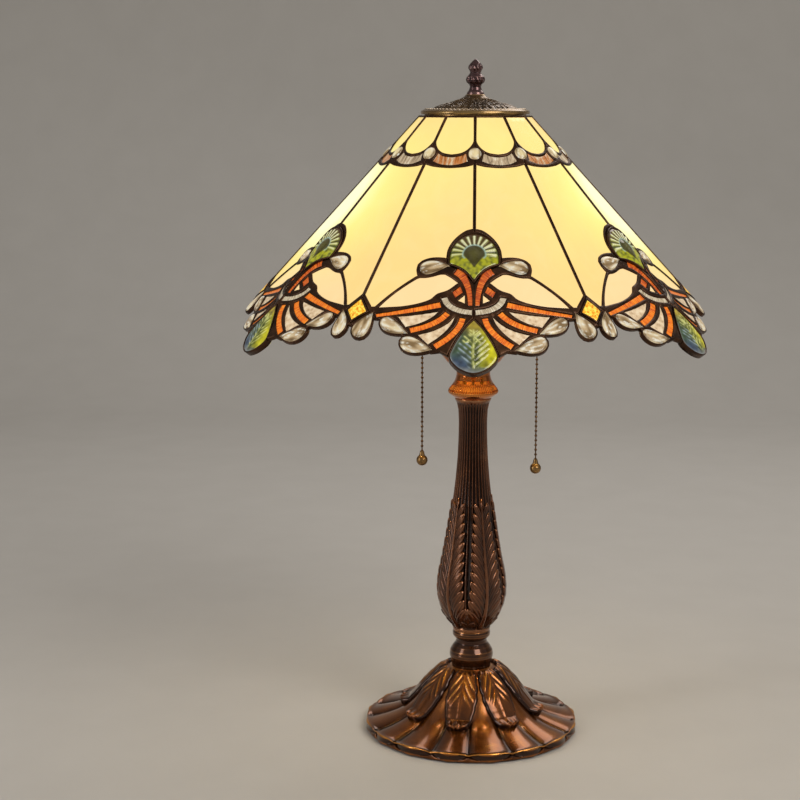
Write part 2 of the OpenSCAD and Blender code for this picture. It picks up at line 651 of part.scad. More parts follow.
module base_casting() {
    color([0.4, 0.2, 0.08]) difference() {
        union() {
            translate([0, 0, felt_t]) linear_extrude(rim_top - felt_t) polygon(lobed);
            rotate_extrude() polygon([[0, rim_top - 2], [90.5, rim_top - 2], [90.5, rim_top],
                [78, 12.2], [69, 15], [61, 18.4], [54.5, 22.8], [49.5, 28.8], [42.3, 38.4], [33, 48],
                [26.5, 54], [18, base_top], [0, base_top]]);
            inlet_boss();
        }
        difference() {
            rotate_extrude() polygon([[0, 0], [89, 0], [89, 6], [77, 9], [68, 11.8], [60, 15], [53, 19.4],
                [46.5, 26.4], [39.5, 35.6], [30.5, 45], [24, 50.4], [18, 53], [0, 53]]);
            translate([0, 0, weight_z + weight_h]) cylinder(r = 10, h = 60);
            inlet_boss();
        }
        translate([0, 0, -cut]) cylinder(r = pipe_r + slip_gap, h = 90);
        translate([0, base_r - 40, inlet_z]) rotate([-90, 0, 0]) cylinder(r = 5, h = 60);
        translate([0, base_r - lobe_depth, inlet_z]) rotate([-90, 0, 0]) cylinder(r = 5.8, h = 10);
    }
}

module inlet_boss() {
    translate([0, base_r - 27, inlet_z]) rotate([-90, 0, 0]) cylinder(r = 6.2, h = 24);
}

module base_weight() {
    color([0.3, 0.3, 0.32]) translate([0, 0, weight_z]) difference() {
        cylinder(r = weight_r, h = weight_h);
        translate([0, 0, -cut]) cylinder(r = pipe_r + slip_gap, h = weight_h + 2 * cut);
    }
}

module base_washer() {
    color([0.7, 0.7, 0.72]) translate([0, 0, weight_z - 1.5]) difference() {
        cylinder(r = 12, h = 1.5);
        translate([0, 0, -cut]) cylinder(r = pipe_r + slip_gap, h = 5);
    }
}

module base_nut() { color([0.75, 0.6, 0.3]) hex_nut(weight_z - 1.5 - 5, 5); }

module felt_pad() {
    color([0.12, 0.2, 0.14]) cylinder(r = base_r - lobe_depth - 2, h = felt_t);
}

module cord_bushing() {
    color([0.1, 0.1, 0.1]) translate([0, base_r - 27.5, inlet_z]) rotate([-90, 0, 0]) difference() {
        union() {
            cylinder(r = 4.9, h = 25);
            translate([0, 0, 24.5]) cylinder(r = 5.6, h = 1.5);
        }
        translate([0, 0, -cut]) cylinder(r = inlet_r, h = 40);
    }
}

felt_pad();
base_casting();
base_weight();
base_washer();
base_nut();
cord_bushing();
lamp_pipe();
base_knob();
column_casting();
copper_collar();
cluster_cup();
cluster_body();
cluster_cover();
cluster_nuts();
riser_pipe();
finial_stud();
vase_cap();
finial();
socket_caps();
socket_shells();
socket_liners();
switch_bodies();
screw_shells();
centre_contacts();
chain_guides();
left_switch_lever();
right_switch_lever();
left_pull_stub();
right_pull_stub();
left_pull_chain();
right_pull_chain();
left_pull_ball();
right_pull_ball();
left_bulb_glass();
right_bulb_glass();
left_bulb_cap();
right_bulb_cap();
shade_top_ring();
solder_net();
top_cream_panels();
amber_band_strips();
grey_band_strips();
oval_jewels();
main_cream_panels();
wing_cream_panels();
amber_diamonds();
edge_drop_jewels();
shell_fan_jewels();
fan_teardrops();
red_strips();
cross_strips();
cream_triangles();
grey_crescents();
upper_orange_strips();
middle_orange_strips();
lower_orange_strips();
clear_wedges();
end_teardrops();
pendant_jewels();
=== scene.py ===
"""Looks of the stained glass table lamp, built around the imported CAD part.

Everything is in metres in the part's own frame: +Z up, the front of the lamp towards -Y.
Outlines and profiles are read from the CAD nodes, and the detail is modelled on top of them.
"""
import math

import bmesh
import bpy
import numpy as np
from mathutils import Matrix, Vector, geometry, noise


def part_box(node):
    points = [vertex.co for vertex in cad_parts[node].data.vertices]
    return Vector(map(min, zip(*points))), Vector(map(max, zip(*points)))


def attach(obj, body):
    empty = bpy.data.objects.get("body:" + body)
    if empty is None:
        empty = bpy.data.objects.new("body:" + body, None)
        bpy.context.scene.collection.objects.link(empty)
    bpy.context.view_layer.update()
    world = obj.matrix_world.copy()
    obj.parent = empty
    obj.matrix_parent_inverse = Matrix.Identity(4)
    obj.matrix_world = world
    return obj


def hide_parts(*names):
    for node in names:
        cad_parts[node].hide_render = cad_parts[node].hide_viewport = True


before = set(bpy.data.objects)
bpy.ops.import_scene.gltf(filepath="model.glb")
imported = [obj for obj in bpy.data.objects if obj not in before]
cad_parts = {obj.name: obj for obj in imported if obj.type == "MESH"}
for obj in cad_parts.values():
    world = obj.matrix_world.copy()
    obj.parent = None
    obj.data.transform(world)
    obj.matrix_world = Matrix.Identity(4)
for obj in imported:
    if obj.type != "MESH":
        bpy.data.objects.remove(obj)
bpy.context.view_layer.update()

MM = 0.001
SIDES = 12
SIDE_ANGLE = 2 * math.pi / SIDES
FIXED = "lamp_frame"
HANDS = ("left", "right")
SAME_PLACE = 2e-6       # vertices of a CAD mesh that round to the same place are one
TINY = 1e-12            # keeps a division by a length away from zero
NOTHING = 1e-18         # the same for a squared length
SECTION_TURN = 0.0221   # where round nodes are cut, in radians from the front, off their vertices


# ---------------------------------------------------------------- reading the CAD nodes
def cad_mesh(node):
    """A CAD node's vertices, welded by position, and its triangles."""
    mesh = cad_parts[node].data
    co = np.empty(len(mesh.vertices) * 3)
    mesh.vertices.foreach_get("co", co)
    mesh.calc_loop_triangles()
    tris = np.empty(len(mesh.loop_triangles) * 3, np.int64)
    mesh.loop_triangles.foreach_get("vertices", tris)
    first, index = np.unique(
        np.round(co.reshape(-1, 3) / SAME_PLACE).astype(np.int64), axis=0, return_index=True,
        return_inverse=True)[1:]
    return co.reshape(-1, 3)[first], index.reshape(-1)[tris].reshape(-1, 3)


def normals_of(co, tris):
    """Unit normals and areas of triangles."""
    cross = np.cross(co[tris[:, 1]] - co[tris[:, 0]], co[tris[:, 2]] - co[tris[:, 0]])
    length = np.linalg.norm(cross, axis=1)
    return cross / np.maximum(length, NOTHING)[:, None], length / 2


def solids_of(co, tris):
    """The triangles of each separate solid."""
    label = np.arange(len(co))
    while True:
        low = label[tris].min(axis=1)
        new = label.copy()
        for corner in range(3):
            np.minimum.at(new, tris[:, corner], low)
        new = new[new]
        if (new == label).all():
            break
        label = new
    which = label[tris[:, 0]]
    return [tris[which == name] for name in np.unique(which)]


def loops_of(tris):
    """The ordered boundary loops of a patch of triangles, as lists of vertices."""
    edges = {}
    for a, b, c in tris:
        for edge in ((a, b), (b, c), (c, a)):
            if (edge[1], edge[0]) in edges:
                del edges[(edge[1], edge[0])]
            else:
                edges[edge] = True
    after = {}
    for a, b in edges:
        after.setdefault(a, []).append(b)
    loops = []
    while after:
        start = next(iter(after))
        loop, here = [], start
        while True:
            loop.append(here)
            step = after[here].pop()
            if not after[here]:
                del after[here]
            here = step
            if here == start:
                break
        loops.append(loop)
    return loops


class Plane:
    """A plane's own axes: u to the right as seen from outside, v up its slope, w outwards."""

    def __init__(self, origin, normal):
        self.o = np.array(origin, float)
        self.w = np.array(normal, float)
        self.u = np.cross((0, 0, 1), self.w)
        self.u /= np.linalg.norm(self.u)
        self.v = np.cross(self.w, self.u)

    def flat(self, points):
        rel = points - self.o
        return np.stack([rel @ self.u, rel @ self.v], axis=1)

    def place(self, uv, w):
        w = np.broadcast_to(w, len(uv))
        return self.o + uv[:, :1] * self.u + uv[:, 1:2] * self.v + w[:, None] * self.w


def outer_faces(node):
    """The outer flat face of each solid of a glass node: its plane and its outline, anticlockwise."""
    co, tris = cad_mesh(node)
    found = []
    for solid in solids_of(co, tris):
        normal, area = normals_of(co, solid)
        centre = co[np.unique(solid)].mean(axis=0)
        outward = np.array([centre[0], centre[1], 0.0]) / np.hypot(centre[0], centre[1])
        outward[2] = 0.9
        area = np.where(normal @ outward > 0.5, area, 0)
        best = np.argmax(area)
        patch = solid[(normal @ normal[best] > 0.9999) & (area > 0)]
        loop = max(loops_of(patch), key=len)
        plane = Plane(co[loop].mean(axis=0), normal[best])
        found.append((plane, plane.flat(co[loop])))
    return sorted(found, key=lambda f: (round(math.atan2(f[0].o[0], -f[0].o[1]), 3), f[0].o[2]))


# ---------------------------------------------------------------- short forms
def unit(value):
    """The value held between 0 and 1."""
    return np.clip(value, 0, 1)


def rounded(t):
    """A rise from 0 to 1 along a quarter of a circle."""
    return np.sqrt(1 - (1 - t) ** 2)


def arch(across):
    """A round arch over -1 to 1."""
    return np.sqrt(unit(1 - across ** 2))


def peak(value, width):
    """A smooth peak of 1 where the value is 0."""
    return np.exp(-(value / width) ** 2)


def speckle(x, y, seed):
    """Smooth noise from -1 to 1 over a flat face."""
    return np.array([noise.noise(Vector((a, b, seed))) for a, b in zip(x, y)])


# ---------------------------------------------------------------- outlines and plates
def smooth_loop(loop, step, corner=math.radians(32)):
    """Points along a closed outline, with curves through its gentle vertices and its corners kept."""
    count = len(loop)
    edge = np.roll(loop, -1, axis=0) - loop
    length = np.linalg.norm(edge, axis=1)
    way = edge / length[:, None]
    before = np.roll(way, 1, axis=0)
    turn = np.arccos(np.clip((before * way).sum(axis=1), -1, 1))
    sharp = turn > corner
    both = before + way
    tangent = both / np.maximum(np.linalg.norm(both, axis=1), TINY)[:, None]
    reach = np.minimum(length, np.roll(length, 1))
    points = []
    for i in range(count):
        j = (i + 1) % count
        a, b = loop[i], loop[j]
        start = way[i] * length[i] if sharp[i] else tangent[i] * min(reach[i], length[i])
        end = way[i] * length[i] if sharp[j] else tangent[j] * min(reach[j], length[i])
        if sharp[i] and sharp[j]:
            start = end = edge[i]
        pieces = max(1, math.ceil(length[i] / step))
        t = (np.arange(pieces) / pieces)[:, None]
        points.append((2 * t ** 3 - 3 * t ** 2 + 1) * a + (t ** 3 - 2 * t ** 2 + t) * start
                      + (3 * t ** 2 - 2 * t ** 3) * b + (t ** 3 - t ** 2) * end)
    return np.vstack(points)


def loop_normals(loop):
    """Unit normals of a closed outline, out of an anticlockwise one, longer at its corners."""
    way = np.roll(loop, -1, axis=0) - loop
    way /= np.maximum(np.linalg.norm(way, axis=1), TINY)[:, None]
    out = np.stack([way[:, 1], -way[:, 0]], axis=1)
    both = out + np.roll(out, 1, axis=0)
    both /= np.maximum(np.linalg.norm(both, axis=1), TINY)[:, None]
    cosine = np.clip((both * out).sum(axis=1), 0.5, 1)
    return both / cosine[:, None]


def signed_area(loop):
    x, y = loop[:, 0], loop[:, 1]
    return 0.5 * (x * np.roll(y, -1) - np.roll(x, -1) * y).sum()


def distance_to(points, starts, ends):
    """The distance of each point to the nearest of the edges from starts to ends."""
    best = np.empty(len(points))
    edge = ends - starts
    size = np.maximum((edge ** 2).sum(axis=1), NOTHING)
    for first in range(0, len(points), 400):
        rel = points[first:first + 400, None, :] - starts[None]
        t = unit((rel * edge[None]).sum(axis=2) / size)
        best[first:first + 400] = np.linalg.norm(rel - t[..., None] * edge[None], axis=2).min(axis=1)
    return best


def inside(points, loops):
    """Whether each point lies inside an odd number of the loops."""
    odd = np.zeros(len(points), bool)
    for loop in loops:
        a, b = loop, np.roll(loop, -1, axis=0)
        for first in range(0, len(points), 2000):
            x = points[first:first + 2000, :1]
            y = points[first:first + 2000, 1:2]
            spans = (a[:, 1] > y) != (b[:, 1] > y)
            rise = np.where(b[:, 1] == a[:, 1], NOTHING, b[:, 1] - a[:, 1])
            crosses = spans & (x < a[:, 0] + (y - a[:, 1]) / rise * (b[:, 0] - a[:, 0]))
            odd[first:first + 2000] ^= crosses.sum(axis=1) % 2 == 1
    return odd


def hex_grid(low, high, step):
    rows = np.arange(low[1], high[1] + step, step * 0.866)
    columns = np.arange(low[0], high[0] + step, step)
    x, y = np.meshgrid(columns, rows)
    x[1::2] += step / 2
    return np.stack([x.ravel(), y.ravel()], axis=1)


def fill(loops, step, insets):
    """Triangles over the region between loops: points, triangles, and each point's distance to its edge."""
    edge_points = np.vstack(loops)
    low, high = edge_points.min(axis=0), edge_points.max(axis=0)
    extra = [hex_grid(low, high, step)]
    for inset in insets:
        for loop in loops:
            extra.append(loop - loop_normals(loop) * inset)
            extra.append(loop + loop_normals(loop) * inset)
    extra = np.vstack(extra)
    extra = extra[inside(extra, loops)]
    ends = np.vstack([np.roll(loop, -1, axis=0) for loop in loops])
    gap = distance_to(extra, edge_points, ends)
    ring = np.zeros(len(gap), bool)
    for inset in insets:
        ring |= np.abs(gap - inset) < 0.12 * inset
    keep = ring | (gap > (max(insets) if insets else 0) + 0.45 * step)
    extra, gap = extra[keep], gap[keep]
    cell = 0.3 * min(insets) if insets else 0.2 * step
    order = np.unique(np.round(extra / cell).astype(np.int64), axis=0, return_index=True)[1]
    extra, gap = extra[order], gap[order]
    edges, base = [], 0
    for loop in loops:
        edges += [(base + i, base + (i + 1) % len(loop)) for i in range(len(loop))]
        base += len(loop)
    points = np.vstack([edge_points, extra])
    result = geometry.delaunay_2d_cdt([Vector(p) for p in points], edges, [], 0, 1e-9)
    where = np.array([v[:] for v in result[0]])
    tris = np.array([f[:] for f in result[2]])
    old = result[3]
    gaps = np.array([0.0 if not o or min(o) < len(edge_points) else gap[min(o) - len(edge_points)]
                     for o in old])
    centres = where[tris].mean(axis=1)
    tris = tris[inside(centres, loops)]
    return where, tris, gaps


def new_object(name, co, faces, body=FIXED):
    """A mesh object that rides on a body."""
    mesh = bpy.data.meshes.new(name)
    mesh.from_pydata([tuple(p) for p in co], [], [tuple(int(i) for i in f) for f in faces])
    mesh.validate()
    mesh.update()
    mesh.polygons.foreach_set("use_smooth", [True] * len(mesh.polygons))
    obj = bpy.data.objects.new(name, mesh)
    bpy.context.scene.collection.objects.link(obj)
    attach(obj, body)
    return obj


class Builder:
    """Collects vertices and faces of one object."""

    def __init__(self):
        self.co, self.faces, self.count = [], [], 0

    def add(self, co, faces):
        self.co.append(np.asarray(co))
        self.faces += [tuple(int(i) + self.count for i in f) for f in faces]
        self.count += len(co)

    def build(self, name, body=FIXED):
        return new_object(name, np.vstack(self.co), self.faces, body)


def boundary_edges(tris):
    """Directed edges that only one triangle uses."""
    edges = np.vstack([tris[:, [0, 1]], tris[:, [1, 2]], tris[:, [2, 0]]])
    keys = {}
    for a, b in edges.tolist():
        keys[(a, b)] = True
    return [(a, b) for a, b in keys if (b, a) not in keys]


def slab(plane, uv, tris, front, back):
    """A closed solid between two height fields over the same triangles."""
    count = len(uv)
    co = np.vstack([plane.place(uv, front), plane.place(uv, back)])
    faces = [tuple(t) for t in tris] + [(t[2] + count, t[1] + count, t[0] + count) for t in tris]
    faces += [(b, a, a + count, b + count) for a, b in boundary_edges(tris)]
    return co, faces


# ---------------------------------------------------------------- material helpers
class Shader:
    """A Principled material and short ways to add nodes to it."""

    def __init__(self, name, **values):
        self.material = bpy.data.materials.new(name)
        self.material.use_nodes = True
        self.tree = self.material.node_tree
        self.bsdf = self.tree.nodes["Principled BSDF"]
        for key, value in values.items():
            self.bsdf.inputs[key.replace("_", " ")].default_value = value
        self.where = self.node("ShaderNodeTexCoord").outputs["Object"]

    def node(self, kind, **settings):
        made = self.tree.nodes.new(kind)
        for key, value in settings.items():
            setattr(made, key, value)
        return made

    def link(self, a, b):
        self.tree.links.new(a, b)

    def feed(self, socket, value):
        if isinstance(value, bpy.types.NodeSocket):
            self.link(value, socket)
        else:
            socket.default_value = value

    def math(self, operation, a, b=0.0):
        made = self.node("ShaderNodeMath", operation=operation)
        self.feed(made.inputs[0], a)
        self.feed(made.inputs[1], b)
        return made.outputs[0]

    def stretched(self, scale, where=None):
        made = self.node("ShaderNodeMapping")
        made.inputs["Scale"].default_value = scale
        self.link(where or self.where, made.inputs["Vector"])
        return made.outputs[0]

    def noise(self, scale, detail=4, rough=0.55, distortion=0.0, where=None):
        made = self.node("ShaderNodeTexNoise")
        for socket, number in zip(("Scale", "Detail", "Roughness", "Distortion"),
                                  (scale, detail, rough, distortion)):
            made.inputs[socket].default_value = number
        self.link(where or self.where, made.inputs["Vector"])
        return made.outputs["Fac"]

    def cells(self, scale):
        made = self.node("ShaderNodeTexVoronoi", feature="SMOOTH_F1")
        made.inputs["Scale"].default_value = scale
        self.link(self.where, made.inputs["Vector"])
        return made.outputs["Distance"]

    def ramp(self, value, stops):
        made = self.node("ShaderNodeValToRGB")
        elements = made.color_ramp.elements
        while len(elements) < len(stops):
            elements.new(0.5)
        for element, (place, colour) in zip(elements, stops):
            element.position = place
            element.color = (*colour, 1)
        self.link(value, made.inputs[0])
        return made.outputs["Color"]

    def range(self, value, low, high, to_low, to_high):
        made = self.node("ShaderNodeMapRange")
        for socket, number in zip(("From Min", "From Max", "To Min", "To Max"),
                                  (low, high, to_low, to_high)):
            made.inputs[socket].default_value = number
        self.link(value, made.inputs["Value"])
        return made.outputs["Result"]

    def mix(self, factor, a, b):
        made = self.node("ShaderNodeMix", data_type="RGBA")
        self.feed(made.inputs["Factor"], factor)
        for socket, value in ((made.inputs[6], a), (made.inputs[7], b)):
            if isinstance(value, tuple):
                value = (*value, 1)
            self.feed(socket, value)
        return made.outputs[2]

    def bump(self, height, strength, distance=0.0005, after=None):
        made = self.node("ShaderNodeBump")
        made.inputs["Strength"].default_value = strength
        made.inputs["Distance"].default_value = distance
        self.link(height, made.inputs["Height"])
        if after is not None:
            self.link(after, made.inputs["Normal"])
        return made.outputs[0]

    def colour(self, value):
        self.link(value, self.bsdf.inputs["Base Color"])

    def rough(self, value):
        self.link(value, self.bsdf.inputs["Roughness"])

    def normal(self, value):
        self.link(value, self.bsdf.inputs["Normal"])

    def glow(self, colour, strength):
        self.feed(self.bsdf.inputs["Emission Color"], colour)
        self.feed(self.bsdf.inputs["Emission Strength"], strength)


def dress(obj, material):
    """Gives a piece its only material."""
    obj.data.materials.clear()
    obj.data.materials.append(material)
    return obj


# ---------------------------------------------------------------- the light inside the shade
def bulb_centre(hand):
    """The centre of a bulb's round end, and its radius."""
    low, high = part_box(hand + "_bulb_glass")
    radius = (high.y - low.y) / 2
    x = low.x + radius if hand == "left" else high.x - radius
    return Vector((x, 0, high.z - radius)), radius


GLOW_REACH = 0.06       # distance at which a bulb gives a brightness of 1


def glow_level(s):
    """Brightness of the two bulbs at a point of the glass, by the square of the distance."""
    total = 0.0
    for hand in HANDS:
        away = s.node("ShaderNodeVectorMath", operation="DISTANCE")
        s.link(s.where, away.inputs[0])
        away.inputs[1].default_value = bulb_centre(hand)[0]
        near = s.math("DIVIDE", GLOW_REACH, away.outputs["Value"])
        total = s.math("ADD", s.math("POWER", near, 2.0), total)
    return total


def attribute(s, name, output="Vector"):
    made = s.node("ShaderNodeAttribute", attribute_name=name)
    return made.outputs[output]


def lit(s, tint, light, strength, dulled=0.45):
    """Base colour and glow of lit glass: its tint, brightened by the bulbs."""
    level = s.range(light, 0.25, 2.2, strength * 0.78, strength * 1.45)
    s.colour(s.mix(dulled, tint, (0.0, 0.0, 0.0)))
    s.glow(tint, level)


def cream_glass(name, pink):
    """Opalescent sheet: pale yellow where the bulbs light it most, and orange or pink where least."""
    s = Shader(name, Roughness=0.2, Coat_Weight=0.25, Coat_Roughness=0.08,
               Specular_IOR_Level=0.5)
    light = glow_level(s)
    cloud = s.noise(9, 3, 0.5, 0.6)
    level = s.math("ADD", light, s.range(cloud, 0.3, 0.7, -0.12, 0.12))
    warm = s.ramp(s.math("DIVIDE", level, 3.0), [
        (0.10, (0.94, 0.66, 0.32) if pink else (0.95, 0.65, 0.24)),
        (0.2, (0.98, 0.75, 0.30) if pink else (0.98, 0.76, 0.24)),
        (0.26, (1.0, 0.83, 0.26)), (0.34, (1.0, 0.93, 0.42)), (0.55, (1.0, 0.97, 0.62))])
    wisps = s.noise(38, 5, 0.6, 1.2, s.stretched((1, 1, 0.35)))
    tint = s.mix(s.range(wisps, 0.45, 0.75, 0.0, 0.08), warm, (1.0, 0.94, 0.60))
    s.colour(s.mix(0.72, tint, (0.0, 0.0, 0.0)))
    s.glow(tint, s.range(light, 0.25, 1.6, 0.93, 1.02))
    seeds = s.noise(420, 2, 0.5)
    waves = s.noise(55, 3, 0.5, 0.4)
    s.normal(s.bump(seeds, 0.05, 0.0002, s.bump(waves, 0.12, 0.0008)))
    return s.material


def strip_glass(name, dark, middle, bright, strength):
    """Rippled strip glass: streaks and ridges run across the strip."""
    s = Shader(name, Roughness=0.18, Coat_Weight=0.4, Coat_Roughness=0.06)
    along = attribute(s, "strip")
    streak = s.noise(1.0, 5, 0.6, 0.3, s.stretched((900, 90, 90), where=along))
    cloud = s.noise(1.0, 3, 0.5, 0.0, s.stretched((160, 60, 60), where=along))
    value = s.math("ADD", s.math("MULTIPLY", streak, 0.7), s.math("MULTIPLY", cloud, 0.3))
    tint = s.ramp(value, [(0.40, dark), (0.5, middle), (0.60, bright)])
    lit(s, tint, glow_level(s), strength)
    s.normal(s.bump(streak, 0.35, 0.0006))
    return s.material


def streaky_glass(name, stops):
    """Band glass: streaks run down the slope of the shade."""
    s = Shader(name, Roughness=0.22, Coat_Weight=0.3, Coat_Roughness=0.08)
    along = attribute(s, "local")
    streak = s.noise(1.0, 6, 0.65, 0.5, s.stretched((330, 60, 60), where=along))
    tint = s.ramp(streak, stops)
    lit(s, tint, glow_level(s), 0.62)
    s.normal(s.bump(streak, 0.25, 0.0005))
    return s.material


def granite_glass(name, stops, scale, strength, depth):
    """Hammered glass, with rounded cells pressed into its face."""
    s = Shader(name, Roughness=0.12, Coat_Weight=0.5, Coat_Roughness=0.05, IOR=1.5)
    cells = s.cells(scale)
    grain = s.noise(scale * 1.3, 4, 0.6, 0.8)
    value = s.math("ADD", s.math("MULTIPLY", cells, 0.6), s.math("MULTIPLY", grain, 0.6))
    tint = s.ramp(value, stops)
    lit(s, tint, glow_level(s), strength)
    s.normal(s.bump(value, depth, 0.0008))
    return s.material


def jewel_glass(name, strength, transmission, colour_noise):
    """Pressed glass whose colours are painted on its mesh, with a clear wet surface."""
    s = Shader(name, Roughness=0.08, Coat_Weight=0.3, Coat_Roughness=0.03, Specular_IOR_Level=0.35,
               Transmission_Weight=transmission, IOR=1.5)
    paint = attribute(s, "paint", "Color")
    cloud = s.noise(160, 4, 0.6, 1.0)
    tint = s.mix(s.range(cloud, 0.35, 0.75, 0.0, colour_noise), paint, (1.0, 0.93, 0.78))
    lit(s, tint, glow_level(s), strength, 0.78)
    s.normal(s.bump(cloud, 0.1, 0.0004))
    return s.material


# ---------------------------------------------------------------- glass of the shade
TUCK = 0.35 * MM        # how far the glass runs on under the solder


def ripple(points, scale, seed=0.0):
    """Smooth noise from -1 to 1 at points on the object."""
    return np.array([noise.noise(Vector(p) * scale + Vector((seed, seed, seed))) for p in points])


def round_edge(gap, radius, fall):
    """How far the face drops near its edge."""
    t = unit(gap / radius)
    return -fall * (1 - rounded(t))


def bent(uv, bend):
    """The fall of a piece that sits across a seam, away from its middle: bend is (half width, fall)."""
    if not bend:
        return 0.0
    return -bend[1] * (uv[:, 0] / bend[0]) ** 2


def glass_nodes(nodes, step, insets, shape, material, slot, depth, bend=None, paint=None,
                strips=False):
    """Replaces glass nodes by a detailed piece each. shape gives the face's height."""
    for node in nodes:
        b = Builder()
        local, painted, strip = [], [], []
        for index, (plane, outline) in enumerate(outer_faces(node)):
            loop = smooth_loop(outline, step * 0.6)
            loop = loop + loop_normals(loop) * TUCK
            uv, tris, gap = fill([loop], step, insets)
            flat = plane.place(uv, 0)
            front = shape(uv, gap, flat, index) + bent(uv, bend)
            back = np.full(len(uv), -depth) + bent(uv, bend)
            co, faces = slab(plane, uv, tris, front, back)
            b.add(co, faces)
            here = np.column_stack([uv, gap])
            local.append(np.vstack([here, here]) + (0.21 * index, 0.17 * index, 0))
            if paint:
                colours = paint(uv, gap, index)
                painted.append(np.vstack([colours, colours]))
            if strips:
                st = strip_places(outline, uv) + (0.37 * index, 0)
                st = np.column_stack([st, np.full(len(st), 0.1 * index)])
                strip.append(np.vstack([st, st]))
        obj = b.build("glass_" + node)
        store(obj, "local", np.vstack(local), "FLOAT_VECTOR")
        if painted:
            store(obj, "paint", np.vstack(painted), "FLOAT_COLOR")
        if strip:
            store(obj, "strip", np.vstack(strip), "FLOAT_VECTOR")
        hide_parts(node)
        dress(obj, material)


def store(obj, name, values, kind):
    """Keeps one value for each vertex of a piece."""
    made = obj.data.attributes.new(name, kind, "POINT")
    if kind == "FLOAT":
        made.data.foreach_set("value", values.astype(np.float32))
    elif kind == "FLOAT_COLOR":
        values = np.column_stack([values, np.ones(len(values))])
        made.data.foreach_set("color", values.astype(np.float32).ravel())
    else:
        made.data.foreach_set("vector", values.astype(np.float32).ravel())


def resample(points, count):
    """Evenly spaced points along an open line."""
    step = np.linalg.norm(np.diff(points, axis=0), axis=1)
    along = np.concatenate([[0], np.cumsum(step)])
    want = np.linspace(0, along[-1], count)
    return np.column_stack([np.interp(want, along, points[:, i]) for i in (0, 1)])


def strip_places(outline, uv):
    """For points of a curved strip: the distance along its middle line, and off it."""
    way = np.roll(outline, -1, axis=0) - outline
    length = np.linalg.norm(way, axis=1)
    way = way / length[:, None]
    turn = np.arccos(np.clip((np.roll(way, 1, axis=0) * way).sum(axis=1), -1, 1))
    corners = np.sort(np.argsort(-turn)[:4])
    sides = []
    for i in range(4):
        a, b = corners[i], corners[(i + 1) % 4]
        index = np.arange(a, b + 1 if b > a else b + 1 + len(outline)) % len(outline)
        sides.append(outline[index])
    span = [np.linalg.norm(np.diff(s, axis=0), axis=1).sum() for s in sides]
    first = 0 if span[0] + span[2] > span[1] + span[3] else 1
    middle = (resample(sides[first], 24) + resample(sides[first + 2][::-1], 24)) / 2
    edge = np.diff(middle, axis=0)
    size = (edge ** 2).sum(axis=1)
    rel = uv[:, None, :] - middle[None, :-1]
    t = unit((rel * edge[None]).sum(axis=2) / size)
    off = rel - t[..., None] * edge[None]
    away = np.linalg.norm(off, axis=2)
    best = away.argmin(axis=1)
    rows = np.arange(len(uv))
    start = np.concatenate([[0], np.cumsum(np.sqrt(size))])[:-1]
    side = np.sign(edge[best, 0] * off[rows, best, 1] - edge[best, 1] * off[rows, best, 0])
    return np.column_stack([start[best] + t[rows, best] * np.sqrt(size[best]),
                            side * away[rows, best]])


def sheet_face(uv, gap, flat, index):
    return -0.15 * MM + 0.1 * MM * ripple(flat, 45, index) + round_edge(gap, 0.8 * MM, 0.3 * MM)


def rippled_face(uv, gap, flat, index):
    waves = ripple(flat, 330, index) + 0.5 * ripple(flat, 700, index)
    return -0.25 * MM + 0.14 * MM * waves + round_edge(gap, 0.9 * MM, 0.4 * MM)


def hammered_face(uv, gap, flat, index):
    dents = np.array([noise.voronoi(Vector(p) * 330)[0][0] for p in flat])
    return -0.1 * MM - 0.5 * MM * (0.7 - dents) + round_edge(gap, 1.0 * MM, 0.5 * MM)


def drop_face(uv, gap, flat, index):
    """A pressed drop: a bevel round its edge, and a crown with a shallow wave."""
    edge = unit(gap / (1.9 * MM))
    crown = unit(gap / (6.0 * MM))
    dome = 1.45 * MM * rounded(edge) + 0.5 * MM * crown
    return -2.2 * MM + dome + 0.34 * MM * edge * ripple(flat, 150, index)


def oval_face(uv, gap, flat, index):
    edge = unit(gap / (4.4 * MM))
    return -1.5 * MM + 1.45 * MM * rounded(edge) + 0.1 * MM * edge * ripple(flat, 260, index)


def granite_face(uv, gap, flat, index):
    edge = unit(gap / (2.2 * MM))
    dents = np.array([noise.voronoi(Vector(p) * 420)[0][0] for p in flat])
    return -0.9 * MM + 0.8 * MM * rounded(edge) - 0.35 * MM * (0.6 - dents) * edge


FAN_RIB_ANGLE = math.radians(17.5)


def fan_places(uv):
    """Angles and places in the shell fan, about the middle of its dark heart."""
    hub = np.array([0, uv[:, 1].max() - 20.5 * MM])
    rel = uv - hub
    return np.arctan2(rel[:, 0], rel[:, 1]), rel


def fan_heart(rel):
    """Distance out of the dark heart: an arch above, and a rounded point below."""
    x, y = np.abs(rel[:, 0]), rel[:, 1]
    arch = np.hypot(x, y) - 8.3 * MM
    point = (np.hypot(x / (8.3 * MM), -y / (13.0 * MM)) - 1) * 8.3 * MM
    corner = (x + 0.66 * -y - 8.9 * MM) * 0.83
    return np.where(y > 0, arch, np.maximum(point, corner))


def fan_rib(rel, angle):
    """Height of the fan's ribs from 0 to 1, which start at the heart and flare outwards."""
    wave = np.cos(angle / FAN_RIB_ANGLE * 2 * math.pi) * 0.5 + 0.5
    out = unit((fan_heart(rel) - 0.3 * MM) / (0.9 * MM))
    end = unit((18.4 * MM - np.hypot(rel[:, 0], rel[:, 1])) / (1.0 * MM))
    upper = unit((np.radians(104) - np.abs(angle)) / 0.15)
    return wave ** 1.7 * out * upper * end


def fan_face(uv, gap, flat, index):
    angle, rel = fan_places(uv)
    edge = unit(gap / (2.2 * MM))
    body = 1.2 * MM * rounded(edge)
    heart = unit(-fan_heart(rel) / (3 * MM))
    return -2.1 * MM + body + 0.85 * MM * fan_rib(rel, angle) * edge + 0.5 * MM * heart


